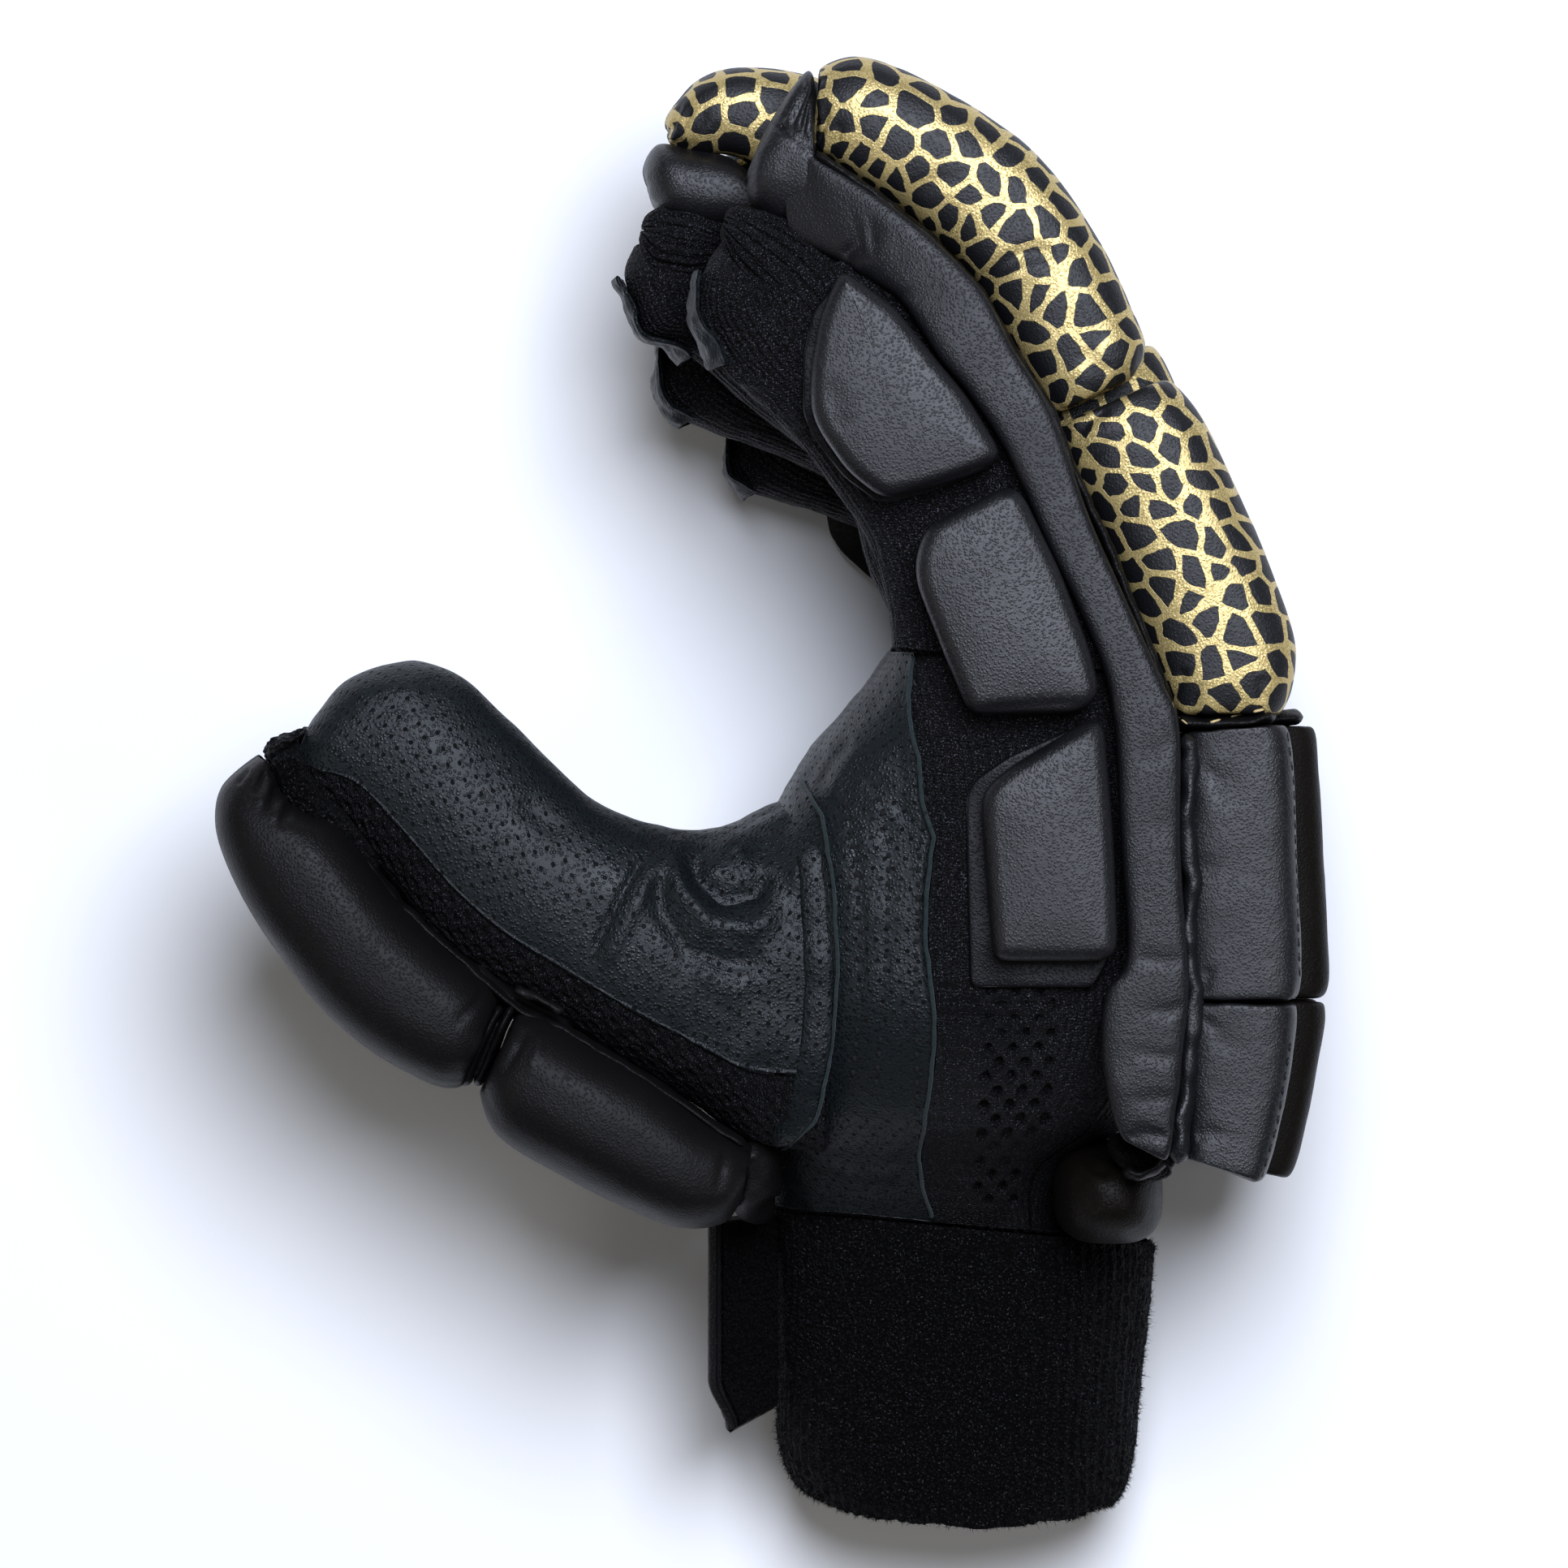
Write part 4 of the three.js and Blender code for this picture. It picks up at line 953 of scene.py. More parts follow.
STALL_RIB = 1.7
STALL_FOLDS = [
    ([(888, 286), (915, 330), (945, 370), (972, 403)], 8, -1.0),
    ([(870, 310), (895, 350), (930, 395), (960, 430)], 10, 0.7),
    ([(857, 378), (885, 442), (913, 467), (954, 482)], 4, 0.9),
    ([(868, 372), (897, 432), (922, 455), (960, 470)], 4, -0.6),
    ([(985, 545), (1010, 520), (1030, 480)], 7, -0.5),
    ([(940, 500), (975, 510), (1005, 530)], 7, 0.4),
]
PATCH_START, PATCH_END = 0.6, 0.9
PATCH_ANGLES = (math.radians(146), math.radians(214))
for number, (key, finger) in enumerate(FINGERS.items()):
    fine = key == "index"
    loft = finger_loft(finger, STALL if fine else WRAPPED_STALL, slimmed=True)
    along, around = (140, 100) if fine else (100, 72)
    P, S, A = grid_of(loft, along, around)
    inner, _, _ = grid_of(loft, along, around, 0, 0.93, -STALL_WALL)
    n = outward_normals(P)
    uv = surface_lengths(P, True, around // 4)[:, :around]
    ribs = 0.22 * (np.abs(np.cos(uv[..., 0] * math.pi / STALL_RIB)) - 0.5)
    lift = ribs + 0.30 * noise(P, 9, number) + 0.16 * noise(P, 2.6, number + 5) + 0.1
    if fine:
        lift += strokes(P, n, STALL_FOLDS)
    shell(f"{key}_stall", P + n * lift[..., None], inner, True, STALL_KNIT, [f"{key}_stall"],
          tip=True)

    patch, S, A = grid_of(loft, 44, 34, PATCH_START, PATCH_END, 1.9, *PATCH_ANGLES)
    n = normals_of(patch, False)
    n = n if n[..., 0].sum() < 0 else -n
    edge = np.maximum(
        np.abs(S - (PATCH_START + PATCH_END) / 2) * 2 / (PATCH_END - PATCH_START),
        np.abs(A - math.pi) * 2 / (PATCH_ANGLES[1] - PATCH_ANGLES[0]),
    )
    curl = 1.6 * smooth((edge - 0.55) / 0.45) * (0.55 + 0.6 * noise(patch, 5, 31 + number))
    rumple = 0.55 * noise(patch, 3.4, 41 + number) + 0.3 * noise(patch, 1.7, 51)
    outer = patch + n * (curl + rumple)[..., None]
    shell(f"{key}_tip_leather", outer, outer - n, False, PLAIN_PALM_LEATHER,
          [f"{key}_tip_leather"])

# Hand: liner under the back pads, the two mesh sides and the palm leather

hand = level_loft(HAND, rests=True)


def hand_panel(name, a0, a1, along, around, material, relief, lift=0.0):
    """Panel of the hand between two seams, each a list of angles in degrees at SEAM_SHARES."""
    s = np.linspace(0, 1, along)
    low, high = (np.radians(np.interp(s, SEAM_SHARES, a)) for a in (a0, a1))
    A = low[:, None] + (high - low)[:, None] * np.linspace(0, 1, around)[None]
    S = np.broadcast_to(s[:, None], A.shape)
    P = points_on(hand, S, A, lift)
    inner = points_on(hand, S, A, -PANEL_WALL)
    n = normals_of(P, False)
    centre = np.array([*place(1190, 1150), height_at(0.5)])
    n = n if points_away(P, n, centre) else -n
    uv = surface_lengths(P, False, around // 2)
    share = np.linspace(0, 1, around)
    reach = (uv[:, -1:, 0] - uv[:, :1, 0]) * np.minimum(share, 1 - share)
    outer = P + n * (relief(P, n, uv) * smooth(reach / 4))[..., None]
    shell(name, outer, inner, False, material, [name])
    return outer


NET_PITCH = (31.0, 35.5)
NET_HOLE = (4.7, 5.9)


def side_pits(P):
    """Distance to the nearest hole of the open net in the side mesh, as a share of its size."""
    py = picture_y(P)
    lean = (py - 1360) * 0.05
    u, v = (picture_x(P) + lean - 1213) / NET_PITCH[0], (py - 1222) / NET_PITCH[1]
    best = np.full(u.shape, 9.0)
    for du, dv in ((0, 0), (0.5, 0.5)):
        cu, cv = np.round(u - du) + du, np.round(v - dv) + dv
        d = np.hypot((u - cu) * NET_PITCH[0] / NET_HOLE[0], (v - cv) * NET_PITCH[1] / NET_HOLE[1])
        inside = (cu >= -0.1) & (cu <= 2.6) & (cv >= -0.1) & (cv <= 7.6)
        best = np.where(inside, np.minimum(best, d), best)
    return best


def radial_relief(P, n, uv):
    top = smooth((n[..., 2] - 0.3) / 0.3)
    pits = -2.0 * smooth((1.5 - side_pits(P)) / 0.5) * top
    swell = 0.35 * noise(P, 14, 3) + 0.10 * noise(P, 3, 4)
    marks = strokes(P, n, [
        ([(1150, 905), (1200, 925), (1250, 920)], 9, -0.7),
        ([(1100, 720), (1122, 800), (1150, 880)], 8, 0.5),
        ([(1160, 940), (1165, 1100), (1160, 1300), (1168, 1500)], 7, 0.5),
    ])
    return pits + swell + marks


def side_relief(P, n, uv):
    return 0.35 * noise(P, 14, 8) + 0.10 * noise(P, 3, 9)


PALM_MARKS = [
    ([(1040, 985), (1056, 1060), (1062, 1150), (1060, 1250), (1052, 1330)], 5, -0.35),
    ([(1078, 960), (1096, 1040), (1094, 1150), (1088, 1260), (1080, 1340)], 5, -0.30),
    ([(1005, 970), (1022, 935), (1050, 905)], 7, -0.8),
    ([(985, 985), (1000, 945), (1020, 915)], 7, -0.6),
    ([(1020, 990), (1040, 950), (1062, 918)], 8, 0.5),
    ([(1100, 985), (1120, 1010), (1140, 1020)], 6, -0.35),
    ([(1015, 1380), (1060, 1400), (1120, 1395)], 12, -0.35),
    ([(990, 1430), (1050, 1452), (1120, 1450)], 9, 0.35),
]


def palm_relief(P, n, uv):
    folds = 0.55 * noise(P * np.array([1, 0.45, 0.7]), 11, 12)
    folds = folds + 0.22 * noise(P, 4.2, 13) + 0.06 * noise(P, 1.6, 14)
    return folds + strokes(P, n, PALM_MARKS) - 0.1


hand_panel("back_liner", [-SEAM_BACK] * 6, [SEAM_BACK] * 6, 90, 40, SIDE_KNIT, side_relief)
hand_panel("radial_mesh", [SEAM_BACK + 1] * 6, [a - 0.4 for a in SEAM_INDEX], 230, 100, SIDE_KNIT,
           radial_relief)
hand_panel("ulnar_mesh", [a + 1 for a in SEAM_LITTLE], [360 - SEAM_BACK - 1] * 6, 110, 60, SIDE_KNIT,
           side_relief)
palm = hand_panel("palm_leather", SEAM_INDEX, SEAM_LITTLE, 180, 130, PALM_LEATHER, palm_relief,
                  lift=0.35)

# Thumb

thumb = level_loft(THUMB)
THUMB_FOLDS = [
    ([(850, 1044), (862, 1084), (892, 1108), (930, 1100), (952, 1070)], 13, -1.9),
    ([(824, 1040), (838, 1098), (874, 1138), (925, 1144), (972, 1118)], 14, 1.5),
    ([(808, 1062), (816, 1124), (846, 1172), (900, 1188), (956, 1180)], 13, -1.3),
    ([(846, 1190), (900, 1214), (960, 1206)], 14, 0.6),
    ([(985, 1000), (990, 1050), (976, 1096)], 12, 0.8),
    ([(905, 1046), (922, 1070), (925, 1084)], 9, 0.6),
    ([(801, 1044), (776, 1084), (752, 1130), (735, 1165), (724, 1193)], 4.5, -0.9),
    ([(820, 1052), (796, 1092), (772, 1138), (754, 1172), (744, 1200)], 9, 0.7),
    ([(640, 980), (668, 1010), (700, 1030)], 14, -0.5),
    ([(420, 860), (470, 850), (530, 850)], 16, 0.5),
]


def thumb_panel(name, a0, a1, along, around, material, relief, lift=0.0):
    """Panel of the thumb between two angles in degrees."""
    P, S, A = grid_of(thumb, along, around, 0, 1, lift, math.radians(a0), math.radians(a1))
    inner = points_on(thumb, S, A, -STALL_WALL)
    n = normals_of(P, False)
    mid = section_at(thumb, S)
    centre = np.stack([(mid[..., 0] + mid[..., 2]) / 2, (mid[..., 1] + mid[..., 3]) / 2, mid[..., 4]], -1)
    n = n if points_away(P, n, centre) else -n
    outer = P + n * relief(P, n, surface_lengths(P, False, around // 2))[..., None]
    shell(name, outer, inner, False, material, [name])


def thumb_leather_relief(P, n, uv):
    calm = 0.30 * noise(P, 13, 21) + 0.12 * noise(P, 4, 22)
    root = smooth((picture_x(P) - 760) / 120)
    loose = root * (0.55 * noise(P, 7, 23) + 0.22 * noise(P, 3, 24))
    return calm + loose + strokes(P, n, THUMB_FOLDS) - 0.1


THUMB_PIT_PITCH = 4.6


def thumb_mesh_relief(P, n, uv):
    u, v = uv[..., 0] / THUMB_PIT_PITCH, uv[..., 1] / THUMB_PIT_PITCH
    best = np.full(u.shape, 9.0)
    for d in (0, 0.5):
        away = np.hypot(u - d - np.round(u - d), v - d - np.round(v - d)) * THUMB_PIT_PITCH
        best = np.minimum(best, away)
    return -0.75 * smooth((1.05 - best) / 0.5) + 0.25 * noise(P, 9, 26) + 0.1 * noise(P, 2.4, 27)


thumb_panel("thumb_leather", THUMB_SEAM + 1, 360 - THUMB_SEAM - 1, 205, 130, PALM_LEATHER,
            thumb_leather_relief, lift=0.2)
thumb_panel("thumb_mesh", -THUMB_SEAM, THUMB_SEAM, 200, 84, SIDE_KNIT, thumb_mesh_relief)

THUMB_DISTAL_MARKS = [
    ([(330, 946), (322, 962), (312, 980)], 3.2, -0.9),
    ([(346, 962), (338, 984), (326, 1002)], 3.4, -1.0),
    ([(362, 980), (356, 1000), (346, 1020)], 3.4, -0.9),
    ([(306, 944), (298, 956), (290, 966)], 3.4, -0.6),
    ([(336, 954), (330, 974), (318, 992)], 3.6, 0.5),
    ([(354, 972), (346, 994), (336, 1012)], 3.6, 0.5),
    ([(600, 1216), (588, 1236), (560, 1262)], 6, -0.5),
    ([(618, 1250), (604, 1272), (580, 1300)], 6, 0.5),
]
THUMB_PROXIMAL_MARKS = [
    ([(650, 1262), (640, 1290), (620, 1320)], 6, -0.5),
    ([(668, 1266), (664, 1292), (652, 1318)], 6, 0.4),
    ([(898, 1410), (890, 1440), (884, 1470)], 6, -0.4),
]
# The thumb pads use the shaded copy of the black leather: painted shade.
stuffed("thumb_distal_pad", level_loft(THUMB_DISTAL), SHADED_LEATHER, "black_leather", 120, 84,
        ((0.6, 6), (0.6, 7)), marks=THUMB_DISTAL_MARKS, gather=0.4, seed=61, grow=0.7)
stuffed("thumb_proximal_pad", level_loft(THUMB_PROXIMAL), SHADED_LEATHER, "black_leather", 120, 84,
        ((0.6, 7), (0.88, 8)), marks=THUMB_PROXIMAL_MARKS, gather=0.4, seed=65, grow=0.7)


def tufted(P, A):
    return 0.55 * noise(P, 1.7, 71) + 0.4 * noise(P, 0.9, 72)


stuffed("thumb_knit_end", level_loft(KNIT_END), TOWELLING, "towelling", 90, 80, ROUND_ENDS, seed=69,
        extra=tufted, grow=1.6)

# Wristband

cuff = level_loft(CUFF, rests=True, bow=CUFF_HEM_BOW)
RIB_PITCH = 2.45
CUFF_GRID = (150, 260)
P, S, A = grid_of(cuff, *CUFF_GRID)
n = outward_normals(P)
uv = surface_lengths(P, True, CUFF_GRID[1] // 4)[:, :-1]
ribs = 0.24 * np.cos(uv[..., 0] * 2 * math.pi / RIB_PITCH + 0.5 * noise(P, 22, 81))
loops = 0.20 * noise(P, 1.15, 82) + 0.15 * noise(P, 0.7, 83)
sway = 0.55 * noise(P * np.array([1, 0.5, 1]), 19, 84)
hem = -1.3 * smooth((S - 0.965) / 0.035) - 0.6 * smooth((0.02 - S) / 0.02)
hem_wave = 0.9 * noise(P, 4.5, 85) * smooth((S - 0.9) / 0.1)
outer = P + n * (ribs + loops + sway + hem - 0.1)[..., None]
outer[..., 1] += hem_wave
inner = grid_of(cuff, *CUFF_GRID, grow=-CUFF_WALL)[0]
inner[..., 1] += hem_wave
CUFF_OUTER, CUFF_NORMALS, S_CUFF = outer, n, S
shell("cuff", outer, inner, True, TOWELLING, ["cuff"])

# Back pads and the heel roll


def back_pad_loft(finger, table):
    rise = finger["rise"] / UNIT_X
    centre = finger_centre(finger)
    return loft_of([[q[0], q[1], q[2] + rise, q[3], centre, FINGER_REACH, 3.9] for q in table])


BACK_PAD_MARKS = [
    ([(1478, 940), (1500, 960), (1510, 1000)], 9, -0.35),
    ([(1470, 1060), (1500, 1075)], 10, -0.3),
    ([(1480, 1226), (1490, 1190)], 6, -0.4),
    ([(1476, 1250), (1500, 1270), (1510, 1300)], 8, -0.35),
    ([(1470, 1400), (1500, 1390)], 8, -0.35),
]
for number, (key, finger) in enumerate(FINGERS.items()):
    fine = key == "index"
    # The other fingers' back pads take the warm, dull copy: painted shade for their lower, shadowed place.
    leather = BLACK_LEATHER if fine else SHADED_WARM_LEATHER
    size = (100, 80) if fine else (60, 52)
    for row, table in BACK_PADS.items():
        stuffed(f"{key}_back_pad_{row}", back_pad_loft(finger, table), leather, "black_leather", *size,
                ((0.7, 6), (0.7, 6)), marks=BACK_PAD_MARKS if fine else (), gather=0.3, seed=90 + number * 5)

HEEL_GRID = (90, 80)
HEEL_POWER = 0.7
along = (1 - np.cos(math.pi * np.linspace(0, 1, HEEL_GRID[0]))) / 2
shrink = (0.02 + 0.98 * (1 - np.abs(2 * along - 1) ** 4) ** (1 / 2.3))[:, None]
angles = np.arange(HEEL_GRID[1]) * 2 * math.pi / HEEL_GRID[1]
across, up = (np.sign(q) * np.abs(q) ** HEEL_POWER for q in (np.cos(angles), np.sin(angles)))
hx, hy = place(HEEL_ROLL["x"], HEEL_ROLL["y"])
low, high = height_at(HEEL_ROLL["low"]), height_at(HEEL_ROLL["high"]) + HEEL_ROLL["top"]
P = np.stack([
    hx + HEEL_ROLL["reach_x"] * UNIT_X * shrink * across,
    hy + HEEL_ROLL["reach_y"] * UNIT_Y * shrink * up,
    np.broadcast_to((low + (high - low) * along)[:, None], HEEL_GRID),
], -1)
n = outward_normals(P)
lift = 0.35 * noise(P, 12, 95) + 0.1 * noise(P, 3, 96) - 0.2 + strokes(P, n, [
    ([(1330, 1420), (1350, 1440), (1372, 1448)], 7, -0.8),
    ([(1344, 1416), (1372, 1428), (1400, 1430)], 7, -0.6),
    ([(1322, 1450), (1340, 1470), (1350, 1500)], 8, -0.5),
])
heel = closed_pad("heel_roll", P + n * lift[..., None], SHADED_WARM_LEATHER, ["heel_roll"])

# Side bars, side pads and their backings


def side_levels(key):
    return (HAND_HIGH, 1) if key == "index" else (HAND_LOW, -1)


BAR_MARKS = [
    ([(1034, 322), (1058, 302), (1090, 284)], 7, -0.8),
    ([(1046, 340), (1072, 324), (1106, 308)], 10, 0.4),
    ([(1095, 364), (1130, 367), (1172, 358)], 6, -0.35),
    ([(1398, 938), (1430, 925), (1448, 905)], 10, -0.3),
    ([(1452, 1010), (1430, 1020), (1405, 1016)], 10, -0.25),
    ([(1462, 1180), (1430, 1184), (1396, 1176)], 9, -0.3),
    ([(1462, 1235), (1436, 1246), (1416, 1240)], 8, -0.35),
    ([(1458, 1296), (1430, 1302), (1398, 1290)], 9, -0.35),
    ([(1450, 1352), (1424, 1350), (1392, 1360)], 8, -0.3),
    ([(1440, 1400), (1414, 1394), (1384, 1402)], 8, -0.5),
]


def offset_outline(xy, inward):
    """A closed outline moved inwards (mm), along its smoothed normals."""
    t = np.roll(xy, -1, 0) - np.roll(xy, 1, 0)
    t /= np.linalg.norm(t, axis=1, keepdims=True) + 1e-9
    n = np.stack([-t[:, 1], t[:, 0]], 1)
    area = 0.5 * np.sum(xy[:, 0] * np.roll(xy[:, 1], -1) - np.roll(xy[:, 0], -1) * xy[:, 1])
    return xy + n * np.sign(area) * inward


def round_outline(corners, count, soft):
    """Closed outline of evenly spaced points through corners in mm, with the corners rounded."""
    closed = np.concatenate([corners, corners[:1]])
    before = distance_along(closed)
    t = np.arange(count) * before[-1] / count
    xy = np.stack([np.interp(t, before, closed[:, 0]), np.interp(t, before, closed[:, 1])], 1)
    reach = max(1, int(round(soft / (before[-1] / count))))
    weights = np.hanning(2 * reach + 3)[1:-1]
    weights /= weights.sum()
    out = np.zeros_like(xy)
    for k, w in zip(range(-reach, reach + 1), weights):
        out += w * np.roll(xy, k, 0)
    return out


EDGE_TURN = math.radians(70)
EDGE_STEPS = 8
FACE_STEPS = 22


def flat_pad(name, corners, z0, z1, material, edge, crown, count, soft, seed, marks=(), rough=0.05):
    """Moulded pad on a flat seat: upright sides, a rounded edge and a slightly crowned face."""
    xy = round_outline(corners, count, soft)
    sense = 1 if z1 > z0 else -1
    tall = abs(z1 - z0)
    drop = min(0.42 * tall, edge * 1.1)
    rings = []
    for share in (0.0, 0.3, 0.6, 0.85):
        bulge = offset_outline(xy, -0.15 * math.sin(math.pi * share))
        rings.append(np.column_stack([bulge, np.full(count, share * (tall - drop - crown))]))
    for angle in np.linspace(0, EDGE_TURN, EDGE_STEPS):
        rings.append(np.column_stack([
            offset_outline(xy, edge * (1 - math.cos(angle)) / (1 - math.cos(EDGE_TURN))),
            np.full(count, tall - crown - (1 - math.sin(angle) / math.sin(EDGE_TURN)) * drop),
        ]))
    outer_ring = len(rings) - 1
    face = offset_outline(xy, edge)
    middle = face.mean(0)
    reach = crown * 9.0
    sides_of = np.roll(corners, -1, 0) - corners
    run = sides_of / np.linalg.norm(sides_of, axis=1)[:, None]
    for share in np.linspace(0, 1, FACE_STEPS)[1:-1]:
        ring = face + (middle - face) * share
        off = ring[:, None] - corners[None]
        sides = np.abs(off[..., 0] * run[:, 1] - off[..., 1] * run[:, 0])
        away = ((np.maximum(sides - edge, 0) + 0.4) ** -2.5).sum(1) ** -0.4 - 0.4
        rise = 1 - (1 - np.clip(away / reach, 0, 1)) ** 2
        rings.append(np.column_stack([ring, tall - crown + crown * rise]))
    Q = np.array(rings)
    z = Q[outer_ring:, :, 2]
    for _ in range(60):
        beside = (np.roll(z, 1, 1) + np.roll(z, -1, 1))[1:-1]
        z[1:-1] = z[1:-1] * 0.4 + 0.15 * beside + 0.15 * (z[:-2] + z[2:])
        z[-1] = z[-1].mean()
    P = np.concatenate([Q[..., :2], z0 + sense * Q[..., 2:3]], -1)
    top = smooth((Q[..., 2] / tall - 0.4) / 0.5)
    lift = rough * noise(P, 9, seed) * top
    if marks and sense > 0:
        up = np.zeros_like(P)
        up[..., 2] = 1
        lift = lift + strokes(P, up, marks) * top
    P[..., 2] += sense * np.minimum(lift, 0.25)
    return closed_pad(name, P, material, [name])


PAD_MARKS = {
    "tip": [
        ([(1100, 618), (1160, 596), (1232, 570)], 5, -0.8),
        ([(1010, 470), (1030, 500), (1036, 540)], 16, -0.25),
    ],
    "middle": [
        ([(1226, 604), (1250, 606)], 6, -0.9),
        ([(1200, 874), (1280, 868), (1340, 866)], 6, -0.5),
    ],
    "hand": [([(1240, 946), (1290, 918), (1350, 888)], 6, -0.5)],
}
BAR_LEAD = [[972, 292, 962, 205], [1002, 306, 985, 182]]
BAR_CENTRES = (-5.6, -4.0, -2.4, -0.6, 1.8, 3.5)
PAD_TOP = 11.6
BACKING_FROM, BACKING_TO = 0.3, 1.3


def moved_outline(finger, corners):
    """Corners on the index side, in picture units, as mm on the side of another finger."""
    return np.column_stack(place(*on_finger(finger, *np.array(corners, float).T)))


for number, key in enumerate(("index", "little")):
    finger = FINGERS[key]
    seat, sense = side_levels(key)
    rows = []
    for row, q in enumerate([*BAR_LEAD, *SIDE_BAR]):
        centre = seat + sense * BAR_CENTRES[min(row, len(BAR_CENTRES) - 1)]
        rows.append([*on_finger(finger, q[0], q[1]), *on_finger(finger, q[2], q[3]), centre, 3.2, 4.4])
    fine = key == "index"
    size = (260, 56) if fine else (120, 36)
    P = pad_rings(loft_of(rows), *size, ((0.9, 8.0), (0.4, 4.0)), 0.25)[0]
    n = outward_normals(P)
    ruffle = 0.22 * noise(P, 5, 101 + number) * smooth((place(0, 1180)[1] - P[..., 1]) / 20)
    lift = 0.07 * noise(P, 18, 99 + number) + 0.02 * noise(P, 4, 98) + ruffle
    if fine:
        lift = lift + strokes(P, n, BAR_MARKS)
    made = closed_pad(f"{key}_side_bar", P + n * lift[..., None], SHADED_BAR_LEATHER,
                      [f"{key}_side_bar"])
    for name, corners in SIDE_PADS.items():
        base = 1.6 if name in BACKINGS else 0.3
        made = flat_pad(f"{key}_side_pad_{name}", moved_outline(finger, corners), seat + sense * base,
                        seat + sense * PAD_TOP, BLACK_LEATHER, edge=2.4, crown=0.6, count=150, soft=4.4,
                        seed=110 + number, marks=PAD_MARKS[name] if fine else ())
    for name, corners in BACKINGS.items():
        flat_pad(f"{key}_side_backing_{name}", moved_outline(finger, corners), seat + sense * BACKING_FROM,
                 seat + sense * BACKING_TO, BACKING_LEATHER, edge=0.4, crown=0.02, count=110, soft=1.0,
                 seed=120, rough=0.5)

# Wrist strap: a leaf of hook tape on thin leather, its free corner cut off at a slant

v, u = np.meshgrid(np.linspace(0, 1, 100), np.linspace(0, 1, 44), indexing="ij")
edge_x = STRAP["edge_x"] + STRAP_CUT["inset"] * smooth((v - STRAP_CUT["from"]) / (1 - STRAP_CUT["from"]))
x = place(STRAP["root_x"] + (edge_x - STRAP["root_x"]) * u, 0)[0]
y = place(0, STRAP["top"] + STRAP_CUT["lean"] * u + (STRAP["tall"] + STRAP_CUT["slant"] * u) * v)[1]
z = height_at(STRAP["root"] + (STRAP["edge"] - STRAP["root"]) * u)
near = np.stack([x, y, z], -1)
near[..., 2] += 0.5 * noise(near, 14, 131) * u
far = near + np.array([-1.7, 0, -0.8])
shell("wrist_strap", near, far, False, BLACK_LEATHER, ["wrist_strap"])
tape = near + np.array([0.25, 0, 0.5]) * (1 + 0.7 * noise(near, 0.9, 132))[..., None]
tape = tape[1:-1, :-4]
shell("strap_hook_tape", tape, near[1:-1, :-4] - np.array([0.2, 0, 0.3]), False, HOOK_TAPE)

# Seams: piping, raw edges, thread and loose fibres


def tree_of(*names):
    vertices, polygons = [], []
    for name in names:
        mesh = built[name].data
        start = len(vertices)
        vertices += [v.co.copy() for v in mesh.vertices]
        polygons += [[start + i for i in face.vertices] for face in mesh.polygons]
    return BVHTree.FromPolygons(vertices, polygons)


def heights_on(tree, run, spare):
    """Height in mm of the topmost surface under each point of a run."""
    found = []
    for x, y in run:
        hit = tree.ray_cast(Vector((x * MM, y * MM, 0.2)), Vector((0, 0, -1)))[0]
        spare = hit.z / MM if hit is not None else spare
        found.append(spare)
    return np.array(found)


def smooth_line(line, step):
    """Corners in picture units as evenly spaced points in mm, with the corners eased."""
    q = np.stack(place(*np.array(line, float).T), -1)
    before = distance_along(q)
    t = np.linspace(0, before[-1], max(6, int(before[-1] / step)))
    run = np.stack([np.interp(t, before, q[:, k]) for k in (0, 1)], -1)
    for _ in range(6):
        run[1:-1] = (run[:-2] + 2 * run[1:-1] + run[2:]) / 4
    return run


def seam_strip(name, line, reach, material, z=None, tree=None, lift=0.0, around=12, step=0.6, wobble=0.15,
               coarse=2.0, seed=0):
    """Piping, a lip or a raw edge along a line: reach is half its width and half its height in mm."""
    run = line[:, :2] if isinstance(line, np.ndarray) else smooth_line(line, step)
    share = np.linspace(0, 1, len(run))
    if isinstance(line, np.ndarray):
        z = line[:, 2] + lift
    elif tree is not None:
        z = heights_on(tree, run, HAND_HIGH) + lift
        for _ in range(3):
            z[1:-1] = (z[:-2] + 2 * z[1:-1] + z[2:]) / 4
    else:
        z = np.interp(share, np.linspace(0, 1, len(z)), z)
    along = np.gradient(run, axis=0)
    along /= np.linalg.norm(along, axis=1, keepdims=True)
    side = np.stack([-along[:, 1], along[:, 0]], -1)[:, None]
    near_end = np.minimum(share, 1 - share) * len(run) * step / max(reach[0], 0.6)
    shrink = np.sqrt(np.clip(near_end, 0.02, 1))[:, None]
    a = (np.arange(around) * 2 * math.pi / around)[None]
    plan = run[:, None] + side * (reach[0] * shrink * np.cos(a))[..., None]
    P = np.concatenate([plan, (z[:, None] + reach[1] * shrink * np.sin(a))[..., None]], -1)
    for axis in range(3):
        P[..., axis] += wobble * noise(P, coarse, seed + axis * 7)
    return closed_pad(name, P, material)


